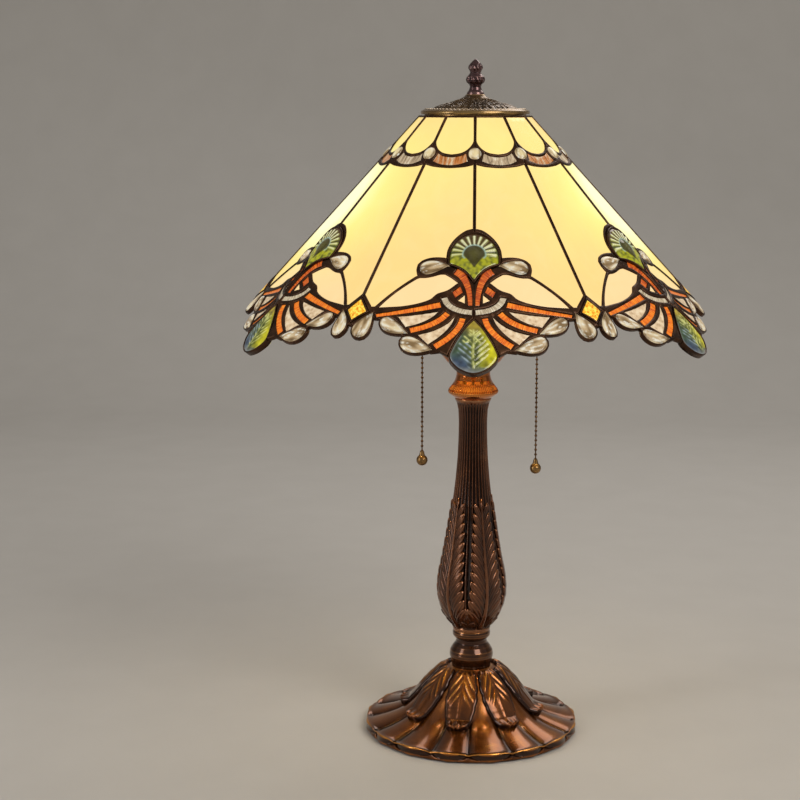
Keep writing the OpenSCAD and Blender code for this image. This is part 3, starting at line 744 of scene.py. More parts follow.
def blend_colours(base, colour, share):
    share = unit(share)[:, None]
    return base * (1 - share) + np.array(colour) * share


def fan_paint(uv, gap, index):
    angle, rel = fan_places(uv)
    rib = fan_rib(rel, angle)
    base = np.tile(np.array([0.060, 0.024, 0.004]), (len(uv), 1))
    side = unit((np.abs(angle) - 0.75) / 0.7)
    base = blend_colours(base, (0.045, 0.060, 0.006), side)
    low = unit((1.0 * MM - rel[:, 1]) / (4 * MM))
    mottle = speckle(uv[:, 0] * 330, uv[:, 1] * 330, index)
    base = blend_colours(base, (0.46, 0.46, 0.008), low * np.clip(0.75 + 1.3 * mottle, 0.15, 1))
    yellow = unit(np.abs(angle) / 1.2)
    base = blend_colours(base, (0.52, 0.52, 0.06), rib * 1.5 * (0.35 + 0.65 * yellow))
    base = blend_colours(base, (0.95, 0.95, 0.62), (rib - 0.45) * 2.2 * (1 - 0.45 * yellow))
    heart = fan_heart(rel)
    inner = peak(heart - 0.7 * MM, 0.55 * MM) * (rel[:, 1] > -4 * MM)
    base = blend_colours(base, (0.42, 0.60, 0.50), inner * 0.85)
    base = blend_colours(base, (0.050, 0.042, 0.002), -heart / (0.7 * MM))
    return blend_colours(base, (0.105, 0.095, 0.003), unit(-heart / (5 * MM) - 0.4) * 0.6)


def leaf_relief(uv):
    """Raised veins of the pendant's leaf, from 0 to 1: a midrib and chevrons that rise outwards."""
    top = uv[:, 1].max()
    down = (top - uv[:, 1]) / MM
    across = np.abs(uv[:, 0]) / MM
    span = unit(1.15 - np.abs(down - 25) / 20) * 12.5
    inside_leaf = unit((span - across) / 1.2) * unit((down - 8) / 2) \
        * unit((43 - down) / 2)
    phase = (down + across * 0.95 - 12) / 4.7
    vein = peak(phase - np.round(phase), 0.17)
    start = unit((across - 0.8) / 0.8)
    midrib = peak(across, 0.85)
    cross = peak(down - 15 - uv[:, 0] / MM, 0.9) + peak(down - 15 + uv[:, 0] / MM, 0.9)
    cross = unit(cross) * (across < 6) * (down > 9) * (down < 21)
    return unit(np.maximum.reduce([vein * start, midrib, cross]) * inside_leaf)


def pendant_face(uv, gap, flat, index):
    edge = unit(gap / (2.6 * MM))
    body = 1.3 * MM * rounded(edge)
    return -2.1 * MM + body + 0.75 * MM * leaf_relief(uv) + 0.12 * MM * edge * ripple(flat, 240, index)


def pendant_paint(uv, gap, index):
    """Amber at the top, yellow at the right, green in the middle, blue at the lower left."""
    top, low = uv[:, 1].max(), uv[:, 1].min()
    down = (top - uv[:, 1]) / (top - low)
    side = uv[:, 0] / np.abs(uv[:, 0]).max()
    cloud = speckle(uv[:, 0] * 260, uv[:, 1] * 260, 7.0 + index)
    base = np.tile(np.array([0.085, 0.110, 0.006]), (len(uv), 1))
    base = blend_colours(base, (0.42, 0.31, 0.03), (0.34 - down) * 5)
    base = blend_colours(base, (0.62, 0.56, 0.008), (side * 1.9 - 0.35) * (down < 0.9))
    base = blend_colours(base, (0.055, 0.095, 0.045), (-side * 2.2 - 0.2) * (down > 0.16))
    base = blend_colours(base, (0.045, 0.075, 0.125), (down - 0.58) * 5 * unit(0.10 - side * 2))
    base = blend_colours(base, (0.20, 0.21, 0.19), (down - 0.86) * 8)
    base = base * (1 + 0.7 * cloud)[:, None]
    rim = peak(gap, 1.3 * MM) * unit(1 - side * 1.2) * (down > 0.3)
    base = blend_colours(base, (0.34, 0.36, 0.36), rim * 0.7)
    veins = leaf_relief(uv) * np.clip(0.65 + 1.6 * cloud, 0.1, 1)
    pale, gold = (0.50, 0.62, 0.70), (0.95, 0.95, 0.34)
    glint = np.where(((side < -0.1) & (down > 0.45))[:, None], pale, gold)
    return base * (1 - 0.8 * veins[:, None]) + glint * 0.8 * veins[:, None]


def drop_paint(uv, gap, index):
    """Clear pressed glass: beige, with brown bends along its length, fine painted glints, a painted shade
    just inside its edge and a painted highlight further in.
    """
    rel = uv - uv.mean(axis=0)
    way = np.linalg.eigh(rel.T @ rel)[1][:, 1]
    along, across = rel @ way, rel @ np.array([-way[1], way[0]])
    flow = speckle(along * 85, across * 300, 3.0 + 1.7 * index)
    fine = speckle(along * 190, across * 620, 9.0 + 1.3 * index)
    base = np.tile(np.array([0.64, 0.46, 0.25]), (len(uv), 1))
    base = blend_colours(base, (0.25, 0.15, 0.055), -flow * 3.0 - 0.25)
    base = blend_colours(base, (0.92, 0.77, 0.48), flow * 3.0 - 0.2)
    # Near-white flecks: painted glints.
    base = blend_colours(base, (1.0, 0.96, 0.80), (fine - 0.22) * 6)
    # A painted shade just inside the edge, and a painted highlight further in.
    edge = peak(gap - 0.9 * MM, 0.6 * MM)
    base = blend_colours(base, (0.10, 0.055, 0.015), edge * unit(0.75 - 1.5 * flow))
    light = peak(gap - 2.0 * MM, 0.5 * MM)
    return blend_colours(base, (1.0, 0.96, 0.82), light * unit(0.2 + 2.2 * flow))


def oval_paint(uv, gap, index):
    base = drop_paint(uv, gap, index + 40)
    return blend_colours(base, (0.95, 0.80, 0.42), unit(gap / (4 * MM)) * 0.7)


# ---------------------------------------------------------------- solder of the shade
BEAD_R = 1.5 * MM       # how far in from the glass a solder line is rounded
BEAD_TOP = 0.85 * MM
BEAD_LOW = -0.45 * MM
NET_FACE = 0.4 * MM     # height of the CAD net's face over the sheet glass
NET_BACK = -3.3 * MM


def bead(gap):
    """Height of a solder line's rounded edge, from 0 to 1."""
    return rounded(unit(gap / BEAD_R))


def seam_direction(azimuth, normal):
    """The way out of the shade along a seam, between the two sides that meet there."""
    level = math.hypot(normal[0], normal[1]) * math.cos(SIDE_ANGLE / 2)
    way = np.array([math.sin(azimuth) * level, -math.cos(azimuth) * level, normal[2]])
    return way / np.linalg.norm(way)


def at_seam(spots, azimuth):
    """Whether each point lies on a seam of the side at azimuth, and its angle from that side's middle."""
    around = np.arctan2(spots[:, 0], -spots[:, 1]) - azimuth
    around = (around + math.pi) % (2 * math.pi) - math.pi
    return np.abs(np.abs(around) - SIDE_ANGLE / 2) < 2e-4, around


def solder_network():
    """One rounded network of solder lines, side by side and joined along the seams."""
    co, tris = cad_mesh("solder_net")
    normal, _ = normals_of(co, tris)
    b = Builder()
    for plane, _ in outer_faces("main_cream_panels"):
        azimuth = math.atan2(plane.w[0], -plane.w[1])
        height = (co[tris] - plane.o) @ plane.w
        face = tris[(normal @ plane.w > 0.9999) & (np.abs(height - NET_FACE).max(axis=1) < 0.05 * MM)]
        loops = [smooth_loop(plane.flat(co[ids]), 0.9 * MM) for ids in loops_of(face)]
        loops = [loop for loop in loops if len(loop) > 4]
        starts, ends = [], []
        for loop in loops:
            mitred = at_seam(plane.place(loop, NET_FACE), azimuth)[0]
            free = ~(mitred & np.roll(mitred, -1))
            starts.append(loop[free])
            ends.append(np.roll(loop, -1, axis=0)[free])
        uv, faces, _ = fill(loops, 1.25 * MM, (0.25 * MM, 0.65 * MM, 1.1 * MM))
        gap = distance_to(uv, np.vstack(starts), np.vstack(ends))
        spot = plane.place(uv, NET_FACE)
        on_seam, around = at_seam(spot, azimuth)
        lumps = 0.10 * MM * ripple(spot, 160) * unit(gap / BEAD_R)
        front = BEAD_LOW + (BEAD_TOP - BEAD_LOW) * bead(gap) + np.where(on_seam, 0, lumps)
        back = NET_BACK + 0.5 * MM - 0.6 * MM * bead(gap)
        ways = np.tile(plane.w, (len(uv), 1))
        for side in (-1, 1):
            here = on_seam & (np.sign(around) == side)
            way = seam_direction(azimuth + side * SIDE_ANGLE / 2, plane.w)
            ways[here] = way / (way @ plane.w)
        co_front = spot + ways * (front - NET_FACE)[:, None]
        co_back = spot + ways * (back - NET_FACE)[:, None]
        count = len(uv)
        made = [tuple(t) for t in faces] + [(t[2] + count, t[1] + count, t[0] + count) for t in faces]
        made += [(j, i, i + count, j + count) for i, j in boundary_edges(faces)
                 if not (on_seam[i] and on_seam[j])]
        b.add(np.vstack([co_front, co_back]), made)
    for node, wall, bend in RIMS:
        for plane, outline in outer_faces(node):
            rim(b, plane, smooth_loop(outline, 1.0 * MM), wall, bend)
    obj = b.build("solder_lines")
    weld(obj, 4e-6)
    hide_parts("solder_net")
    return obj


def weld(obj, distance):
    """Joins vertices that lie together, and drops the ones that no face uses."""
    bm = bmesh.new()
    bm.from_mesh(obj.data)
    bmesh.ops.remove_doubles(bm, verts=bm.verts, dist=distance)
    bmesh.ops.delete(bm, geom=[v for v in bm.verts if not v.link_faces], context="VERTS")
    bm.to_mesh(obj.data)
    bm.free()
    obj.data.update()


# Half widths and falls of the jewels that sit across a seam
FAN_BEND = (19 * MM, 3.2 * MM)
DIAMOND_BEND = (8.3 * MM, 1.4 * MM)
PENDANT_BEND = (17.8 * MM, 1.2 * MM)

# Each rim: (glass node, (width, top, depth) of its wall, bend). Top and depth are from the face.
RIMS = [
    ("shell_fan_jewels", (1.7 * MM, -0.35 * MM, 5.6 * MM), FAN_BEND),
    ("amber_diamonds", (1.8 * MM, 0.0 * MM, 5.2 * MM), DIAMOND_BEND),
    ("pendant_jewels", (1.0 * MM, -0.5 * MM, 5.9 * MM), PENDANT_BEND)]


def rim(b, plane, loop, wall, bend):
    """A wall of solder round a jewel, with a rounded top."""
    width, top, depth = wall
    out = loop_normals(loop)
    radius = width / 2
    arc = [(radius - radius * math.cos(a), top - radius + radius * math.sin(a))
           for a in np.linspace(0, math.pi, 9)]
    arc = [(-0.3 * MM, -depth), (-0.3 * MM, top - radius * 1.2)] + arc + [(width, -depth)]
    count, rows = len(loop), len(arc)
    co = []
    for s, w in arc:
        co.append(plane.place(loop + out * s, w + bent(loop, bend)))
    faces = []
    for r in range(rows):
        for i in range(count):
            j, t = (i + 1) % count, (r + 1) % rows
            faces.append((r * count + i, t * count + i, t * count + j, r * count + j))
    b.add(np.vstack(co), [f[::-1] for f in faces])


def solder_material():
    """Solder under a dark brown patina."""
    s = Shader("solder_dark_patina", Metallic=0.85, Coat_Weight=0.12, Coat_Roughness=0.2)
    cloud = s.noise(90, 5, 0.6)
    fine = s.noise(700, 4, 0.6)
    tint = s.ramp(cloud, [(0.3, (0.028, 0.012, 0.005)), (0.55, (0.068, 0.028, 0.011)),
                          (0.75, (0.13, 0.060, 0.026))])
    s.colour(tint)
    s.rough(s.range(cloud, 0.3, 0.7, 0.34, 0.52))
    s.normal(s.bump(fine, 0.12, 0.0002, s.bump(cloud, 0.2, 0.0006)))
    return s.material


def shade():
    """All the glass of the shade, and the solder that holds it."""
    red = (0.30, 0.028, 0.006), (0.62, 0.105, 0.010), (0.90, 0.22, 0.022)
    orange = (0.50, 0.070, 0.006), (0.86, 0.185, 0.010), (1.0, 0.33, 0.025)
    sheet = dict(step=5 * MM, insets=(0.35 * MM, 0.9 * MM), shape=sheet_face, depth=2.9 * MM)
    strip = dict(step=1.5 * MM, insets=(0.3 * MM, 0.8 * MM), shape=rippled_face, depth=2.9 * MM,
                 strips=True)
    glass_nodes(["top_cream_panels", "main_cream_panels"], slot="cream_glass",
                material=cream_glass("cream_opalescent", False), **sheet)
    glass_nodes(["wing_cream_panels", "cream_triangles"], slot="pink_cream_glass",
                material=cream_glass("pink_cream_opalescent", True), **sheet)
    glass_nodes(["red_strips", "cross_strips"], slot="red_glass",
                material=strip_glass("red_ripple", *red, 0.72), **strip)
    glass_nodes(["upper_orange_strips", "middle_orange_strips", "lower_orange_strips"],
                slot="orange_glass", material=strip_glass("orange_ripple", *orange, 0.85), **strip)
    grey = (0.30, 0.23, 0.14), (0.56, 0.46, 0.31), (0.82, 0.73, 0.55)
    glass_nodes(["grey_crescents"], slot="grey_glass",
                material=strip_glass("grey_ripple", *grey, 0.75), **strip)
    band = dict(step=2.0 * MM, insets=(0.35 * MM, 0.9 * MM), shape=rippled_face, depth=2.9 * MM)
    glass_nodes(["amber_band_strips"], slot="amber_streaky_glass",
                material=streaky_glass("amber_streaky", [
                    (0.34, (0.15, 0.050, 0.012)), (0.45, (0.62, 0.20, 0.035)), (0.54, (0.55, 0.31, 0.15)),
                    (0.64, (0.86, 0.68, 0.44))]), **band)
    glass_nodes(["grey_band_strips"], slot="grey_streaky_glass",
                material=streaky_glass("grey_streaky", [
                    (0.34, (0.17, 0.12, 0.07)), (0.45, (0.46, 0.34, 0.21)), (0.54, (0.60, 0.46, 0.29)),
                    (0.64, (0.86, 0.75, 0.56))]), **band)
    glass_nodes(["clear_wedges"], step=1.2 * MM, insets=(0.3 * MM, 0.8 * MM),
                shape=hammered_face, depth=2.9 * MM, slot="rippled_clear_glass",
                material=granite_glass("hammered_clear", [
                    (0.3, (0.46, 0.31, 0.17)), (0.55, (0.74, 0.55, 0.34)), (0.85, (0.92, 0.78, 0.55))],
                    270, 0.86, 0.3))
    jewels = dict(step=1.0 * MM, insets=(0.3 * MM, 0.7 * MM))
    clear = jewel_glass("clear_pressed", 0.82, 0.15, 0.05)
    glass_nodes(["fan_teardrops", "end_teardrops", "edge_drop_jewels"], shape=drop_face,
                depth=4.6 * MM, slot="clear_jewel", material=clear, paint=drop_paint, **jewels)
    glass_nodes(["oval_jewels"], shape=oval_face, depth=5.0 * MM, slot="clear_jewel",
                material=clear, paint=oval_paint, **jewels)
    glass_nodes(["amber_diamonds"], shape=granite_face, depth=6.0 * MM,
                slot="amber_jewel", bend=DIAMOND_BEND, material=granite_glass("amber_granite", [
                    (0.3, (0.52, 0.12, 0.003)), (0.5, (0.92, 0.38, 0.010)), (0.70, (1.0, 0.78, 0.10))],
                    620, 1.0, 0.5), **jewels)
    pressed = jewel_glass("colour_pressed", 0.85, 0.12, 0.04)
    fine = dict(step=0.75 * MM, insets=(0.3 * MM, 0.7 * MM))
    glass_nodes(["shell_fan_jewels"], shape=fan_face, depth=6.2 * MM, slot="green_jewel",
                bend=FAN_BEND, material=pressed, paint=fan_paint, **fine)
    glass_nodes(["pendant_jewels"], shape=pendant_face, depth=6.2 * MM,
                slot="leaf_jewel", bend=PENDANT_BEND, material=pressed, paint=pendant_paint, **fine)
    dress(solder_network(), solder_material())


# ---------------------------------------------------------------- round metal parts
def section(node, azimuth):
    """The outline (radius, height) of a round CAD node, cut by an upright plane through its axis."""
    co, tris = cad_mesh(node)
    out = np.array([math.sin(azimuth), -math.cos(azimuth), 0])
    across = np.array([math.cos(azimuth), math.sin(azimuth), 0])
    off, radius = co @ across, co @ out
    spots, links = {}, {}
    for tri in tris[(np.sign(off[tris]).sum(axis=1) % 3) != 0]:
        ends = []
        for a, b in ((tri[0], tri[1]), (tri[1], tri[2]), (tri[2], tri[0])):
            if (off[a] > 0) != (off[b] > 0):
                key = (min(a, b), max(a, b))
                t = off[key[0]] / (off[key[0]] - off[key[1]])
                spots[key] = (radius[key[0]] + t * (radius[key[1]] - radius[key[0]]),
                              co[key[0], 2] + t * (co[key[1], 2] - co[key[0], 2]))
                ends.append(key)
        if len(ends) == 2:
            links.setdefault(ends[0], []).append(ends[1])
            links.setdefault(ends[1], []).append(ends[0])
    best, left = [], set(links)
    while left:
        here = min(left)
        loop = []
        while here is not None:
            loop.append(spots[here])
            left.discard(here)
            here = next((n for n in links[here] if n in left), None)
        if np.mean([p[0] for p in loop]) > -1e-4 and len(loop) > len(best):
            best = loop
    best = np.array(best)
    if best[:, 0].min() < 0:
        best = axis_closed(best)
    best = best[np.linalg.norm(best - np.roll(best, 1, axis=0), axis=1) > 0.02 * MM]
    best = straightened(best)
    return best if signed_area(best) > 0 else best[::-1]


def axis_closed(loop):
    """The half of an outline that crosses the axis, closed along the axis."""
    first = next(i for i in range(len(loop)) if loop[i - 1, 0] < 0 <= loop[i, 0])
    loop = np.roll(loop, -first, axis=0)
    half = loop[loop[:, 0] >= 0]
    return np.vstack([[0, half[0, 1]], half, [0, half[-1, 1]]])


def straightened(loop):
    """The outline without points that lie on a straight stretch."""
    before = loop - np.roll(loop, 1, axis=0)
    after = np.roll(loop, -1, axis=0) - loop
    cross = np.abs(before[:, 0] * after[:, 1] - before[:, 1] * after[:, 0])
    size = np.linalg.norm(before, axis=1) * np.linalg.norm(after, axis=1)
    return loop[cross > 0.004 * size]


def turned_outline(node, step, azimuth=SECTION_TURN):
    """A smooth outline of a round CAD node, coarser along its bore."""
    loop = smooth_loop(section(node, azimuth), step)
    inner = loop_normals(loop)[:, 0] < -0.4
    return loop[~inner | (np.arange(len(loop)) % 8 == 0)]


def revolve(outline, turns, shape=None, deep=3 * MM):
    """A closed round body. shape pushes its points (radius, height) along their normals."""
    out = loop_normals(outline)
    theta = np.arange(turns)[None, :] * (2 * math.pi / turns)
    radius, height = outline[:, :1], outline[:, 1:2]
    push = shape(theta, radius, height, out) if shape else np.zeros((len(outline), turns))
    r = radius + out[:, :1] * push
    z = height + out[:, 1:2] * push
    co = np.stack([r * np.sin(theta), -r * np.cos(theta), z + 0 * theta], axis=2)
    rows, columns = np.meshgrid(np.arange(len(outline)), np.arange(turns), indexing="ij")
    right = (columns + 1) % turns
    up = (rows + 1) % len(outline)
    faces = np.stack([rows * turns + columns, rows * turns + right, up * turns + right,
                      up * turns + columns], axis=2)
    # The relief value also sets the colour: hollows and pushed-in points darken as painted shade, rounded
    # edges brighten as wear and painted highlight.
    return co.reshape(-1, 3), faces.reshape(-1, 4), wear_and_painted_light(outline)[:, None] + push / deep


def wear_and_painted_light(outline):
    """Painted light and wear at each point of an outline: low for a painted shade in hollows, high for
    rubbed rounded edges with a painted highlight.
    """
    way = np.roll(outline, -2, axis=0) - outline
    old = outline - np.roll(outline, 2, axis=0)
    turn = np.arctan2(old[:, 0] * way[:, 1] - old[:, 1] * way[:, 0], (old * way).sum(axis=1))
    return np.clip(0.5 + 0.55 * turn, 0.05, 1)


def round_object(name, co, faces, relief, turns, body=FIXED):
    """A piece made by revolve, with its relief kept for the material."""
    obj = new_object(name, co, faces, body)
    store(obj, "relief", np.broadcast_to(relief, (len(relief), turns)).ravel(), "FLOAT")
    return obj


def round_part(name, node, step, turns, material, shape=None):
    """Replaces a round CAD node by a body with relief on it."""
    body = "finial" if node == "finial" else FIXED
    obj = round_object(name, *revolve(turned_outline(node, step), turns, shape), turns, body)
    weld(obj, 1e-6)
    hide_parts(node)
    return dress(obj, material)


def window(value, low, high, soft):
    """1 between low and high, and 0 outside, over a soft edge."""
    return unit((value - low) / soft) * unit((high - value) / soft)


def groove(theta, count):
    """Depth from 0 to 1 of flutes side by side, with narrow ridges between them."""
    u = (theta * count / (2 * math.pi)) % 1 * 2 - 1
    return np.sqrt(unit(1 - (u / 0.7) ** 2))


FLUTES = 32
LEAF_COUNT = 5          # leaves round the swelling of the column
LEAF_TURN = math.radians(27)
LOBE_PAIRS = 12


def column_shape(theta, radius, height, out):
    """Fine flutes from the swelling up to the collar."""
    outside = unit(out[:, :1] * 2)
    low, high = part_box("column_casting")
    flutes = groove(theta, FLUTES) * window(height, low.z + 7 * MM, high.z - 3 * MM, 5 * MM)
    away = np.abs((theta - LEAF_TURN + math.pi / LEAF_COUNT) % (2 * math.pi / LEAF_COUNT)
                  - math.pi / LEAF_COUNT) * radius
    under = window(height, low.z + 4 * MM, low.z + 115 * MM, 12 * MM) \
        * unit(1.5 - away / (15 * MM))
    return -outside * MM * (1.35 * flutes * (radius / (16 * MM)) ** 0.4 + 1.0 * under)


def plate(b, top, bottom):
    """A closed solid between two grids of points with the same rows and columns."""
    rows, columns = top.shape[:2]
    index = np.arange(rows * columns).reshape(rows, columns)
    a, c = index[:-1, :-1].ravel(), index[1:, 1:].ravel()
    right, up = index[:-1, 1:].ravel(), index[1:, :-1].ravel()
    faces = np.stack([a, right, c, up], axis=1)
    under = faces[:, ::-1] + rows * columns
    edge = np.concatenate([index[0, :-1], index[:-1, -1], index[-1, :0:-1], index[:0:-1, 0]])
    after = np.roll(edge, -1)
    wall = np.stack([after, edge, edge + rows * columns, after + rows * columns], axis=1)
    b.add(np.vstack([top.reshape(-1, 3), bottom.reshape(-1, 3)]), np.vstack([faces, under, wall]))


class Ground:
    """Points on a round surface: along its outline from start, across it, and over it."""

    def __init__(self, line):
        self.line = line
        step = np.linalg.norm(np.diff(line, axis=0), axis=1)
        self.along = np.concatenate([[0], np.cumsum(step)])
        way = np.gradient(line, axis=0)
        way /= np.linalg.norm(way, axis=1)[:, None]
        self.out = np.stack([way[:, 1], -way[:, 0]], axis=1)

    def place(self, azimuth, across, along, over):
        r, z = (np.interp(along, self.along, self.line[:, i]) for i in (0, 1))
        nr, nz = (np.interp(along, self.along, self.out[:, i]) for i in (0, 1))
        turn = azimuth + across / r
        r = r + nr * over
        return np.stack([r * np.sin(turn), -r * np.cos(turn), z + nz * over], axis=-1)


def outer_line(node, low, high, azimuth=SECTION_TURN):
    """The outside of a round CAD node's outline between two heights, upwards."""
    loop = smooth_loop(section(node, azimuth), 1.0 * MM)
    out = loop_normals(loop)
    keep = (loop[:, 1] >= low) & (loop[:, 1] <= high) & ((out[:, 0] > 0.3) | (out[:, 1] > 0.3))
    level = np.abs(loop[:, None, 1] - loop[None, :, 1]) < 2 * MM
    widest = np.where(level, loop[None, :, 0], 0).max(axis=1)
    line = loop[keep & (loop[:, 0] > widest - 4.5 * MM)]
    return line[np.argsort(line[:, 1])]


def column_leaves(material):
    """Leaves up the swelling: a midrib, and pairs of lobes that sweep up and outwards."""
    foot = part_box("column_casting")[0].z
    ground = Ground(outer_line("column_casting", foot + 3 * MM, foot + 140 * MM))
    b = Builder()
    relief = []
    a, c = np.meshgrid(np.linspace(0, 1, 17), np.linspace(-1, 1, 13), indexing="ij")
    for leaf in range(LEAF_COUNT):
        azimuth = LEAF_TURN + leaf * 2 * math.pi / LEAF_COUNT
        for pair in range(LOBE_PAIRS):
            grow = pair / (LOBE_PAIRS - 1)
            start = (-10 + 9.6 * pair) * MM
            reach = (19.5 - 12.0 * grow ** 1.2) * MM
            rise = (36 - 12 * grow) * MM
            for side in (-1, 1):
                half = (5.0 - 2.0 * grow) * MM * np.sin(np.pi * (0.16 + 0.74 * a)) ** 0.5
                half = half * np.sqrt(np.clip(1 - unit((a - 0.84) / 0.165) ** 2, 0.02, 1))
                across = side * (reach * (0.04 + 0.84 * a ** 1.7) + c * half * 0.80)
                along = np.clip(start + rise * a - c * half * 0.60, 0, ground.along[-1])
                veins = 0.5 + 0.5 * np.cos(c * 3.2 * math.pi)
                dome = arch(c) * (0.5 + 0.5 * a)
                over = -1.5 + 2.3 * a + 1.0 * dome + 0.45 * veins * np.sin(np.pi * a) ** 0.7
                over = (over - 1.1 * unit((a - 0.88) / 0.12) ** 2) * MM
                top = ground.place(azimuth, across, along, over)
                bottom = ground.place(azimuth, across, along, -2.6 * MM + 0 * over)
                # Colour value: brighter towards the tips and on the veins, wear and a painted highlight;
                # the undersides get 0, a painted shade.
                painted_light_and_wear = 0.02 + 0.42 * a ** 2 + 0.30 * dome * veins
                if side < 0:
                    top, bottom, painted_light_and_wear = top[:, ::-1], bottom[:, ::-1], painted_light_and_wear[:, ::-1]
                plate(b, top, bottom)
                relief += [painted_light_and_wear.ravel(), np.zeros(painted_light_and_wear.size)]
        # The small lobes and the midrib below are brighter on their crowns, as wear and a painted
        # highlight, and their undersides are 0, a painted shade.
        for turn, long in ((-0.13, 15), (0.13, 15), (0.0, 22)):
            half = 4.6 * MM * np.sin(np.pi * (0.14 + 0.84 * a)) ** 0.6
            dome = arch(c)
            over = (-0.9 + 1.6 * a + 1.2 * dome + 0.3 * np.cos(3 * math.pi * c)) * MM
            place = azimuth + math.pi / LEAF_COUNT + turn * a * 1.6
            along = (-3 + long * a) * MM
            plate(b, ground.place(place, c * half, along, over),
                  ground.place(place, c * half, along, -2.6 * MM + 0 * over))
            relief += [(0.10 + 0.30 * dome * a).ravel(), np.zeros(c.size)]
        along = np.clip(a * 124 * MM, 0, ground.along[-1])
        half = (2.4 - 1.4 * a) * MM
        round_top = arch(c)
        ridge = (-0.7 + 2.3 * round_top * (1 - 0.3 * a)) * MM
        top = ground.place(azimuth, c * half, along, ridge)
        plate(b, top, ground.place(azimuth, c * half, along, -2.6 * MM + 0 * ridge))
        relief += [(0.15 + 0.4 * round_top).ravel(), np.zeros(c.size)]
    obj = b.build("column_leaves")
    store(obj, "relief", np.concatenate(relief), "FLOAT")
    return dress(obj, material)


# ---------------------------------------------------------------- base
NARROW_LOBE = math.radians(20.5)
WIDE_LOBE = math.radians(24.5)
LOBE_TURN = math.radians(-11.5)
LOBE_PAIR = NARROW_LOBE + WIDE_LOBE
BASE_TURNS = 432
INLET_R = 5.1           # radii in millimetres of the cord's hole, its boss, and the sink at its mouth
BOSS_R = 6.3
SINK_R = 5.9
ROUND_TURNS = 48        # facets of the inlet's boss and of the drills


def lobe_place(theta):
    """Where an angle lies in its lobe, from -1 to 1."""
    t = (theta - LOBE_TURN + NARROW_LOBE / 2) % LOBE_PAIR
    narrow = t < NARROW_LOBE
    return np.where(narrow, t / NARROW_LOBE * 2 - 1, (t - NARROW_LOBE) / WIDE_LOBE * 2 - 1)


def base_shape(theta, radius, height, out):
    """Convex lobes with sharp grooves between them, from the top ring out to the rim."""
    u = lobe_place(theta)
    outside = unit(out[:, 1:2] * 3) * (height > 8 * MM)
    slope = outside * window(radius, 24 * MM, 97 * MM, 8 * MM)
    depth = (1.2 + 2.2 * unit((radius - 28 * MM) / (50 * MM))) * MM
    lobes = -depth * (1 - np.sqrt(1 - 0.97 * u ** 2)) / 0.83
    wall = unit((radius - 91.5 * MM) / (1.5 * MM)) * unit(out[:, :1] * 1.5)
    band = peak(height - 5 * MM, 1.6 * MM)
    notch = 4.2 * (1 - np.cos(u * math.pi / 2)) + 1.8 * unit((np.abs(u) - 0.9) / 0.1)
    return lobes * slope * (1 - wall) - wall * MM * (notch + 0.35 * band)


def eased(outline, chosen, rounds):
    """The outline with its chosen points drawn towards their neighbours."""
    for _ in range(rounds):
        middle = (np.roll(outline, 1, axis=0) + np.roll(outline, -1, axis=0)) / 2
        outline = np.where(chosen[:, None], (outline + middle) / 2, outline)
    return outline


def base(material):
    """The lobed casting, with the hole for the cord at its back."""
    turned = turned_outline("base_casting", 1.3 * MM, LOBE_TURN)
    slope = (loop_normals(turned)[:, 1] > 0.2) & (turned[:, 1] > 10 * MM)
    turned = eased(turned, slope & (turned[:, 0] > 28 * MM) & (turned[:, 0] < 88 * MM), 60)
    co, faces, relief = revolve(turned, BASE_TURNS, base_shape, 7 * MM)
    # The upright wall of the rim is darkened, a painted shade.
    wall = (turned[:, 0] > 90 * MM) & (turned[:, 1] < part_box("base_casting")[0].z + 6.5 * MM)
    obj = round_object("lamp_base", co, faces, relief - 0.42 * wall[:, None], BASE_TURNS)
    low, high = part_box("cord_bushing")
    middle = (low.z + high.z) / 2
    drill(obj, Vector((0, low.y - 12 * MM, middle)), INLET_R * MM, 60 * MM)
    drill(obj, Vector((0, high.y - 1.6 * MM, middle)), SINK_R * MM, 10 * MM)
    inlet_boss(material, low.y + 0.5 * MM, high.y - 1.6 * MM, middle)
    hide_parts("base_casting")
    return dress(obj, material)


def inlet_boss(material, start, end, middle):
    """The round boss that holds the cord's bushing at the back of the base."""
    length = 22.8
    line = [(INLET_R, 0), (BOSS_R, 0), (BOSS_R, 20), (6.1, 21.5), (5.6, 22.6), (INLET_R, length)]
    outline = np.array([(r * MM, start + y * MM * (end - start) / (length * MM)) for r, y in line])
    co, faces, relief = revolve(outline, ROUND_TURNS)
    co = np.stack([co[:, 0], co[:, 2], middle - co[:, 1]], axis=1)
    dress(round_object("inlet_boss", co, faces, relief, ROUND_TURNS), material)


def drill(obj, start, radius, length):
    """Cuts a round hole along +Y."""
    n = ROUND_TURNS
    turn = np.arange(n) * (2 * math.pi / n)
    ring = np.stack([radius * np.cos(turn), 0 * turn, radius * np.sin(turn)], axis=1)
    co = np.vstack([ring, ring + (0, length, 0)]) + np.array(start)
    faces = [(i, i + n, (i + 1) % n + n, (i + 1) % n) for i in range(n)]
    faces += [tuple(range(n)), tuple(range(2 * n - 1, n - 1, -1))]
    mesh = bpy.data.meshes.new("drill")
    mesh.from_pydata(co.tolist(), [], faces)
    cutter = bpy.data.objects.new("drill", mesh)
    bpy.context.scene.collection.objects.link(cutter)
    cutter.matrix_world = Matrix()
    hole = obj.modifiers.new("hole", "BOOLEAN")
    hole.operation = "DIFFERENCE"
    hole.solver = "EXACT"
    hole.object = cutter
    bpy.context.view_layer.update()
    made = bpy.data.meshes.new_from_object(obj.evaluated_get(bpy.context.evaluated_depsgraph_get()))
    obj.modifiers.clear()
    obj.data = made
    bpy.data.objects.remove(cutter)


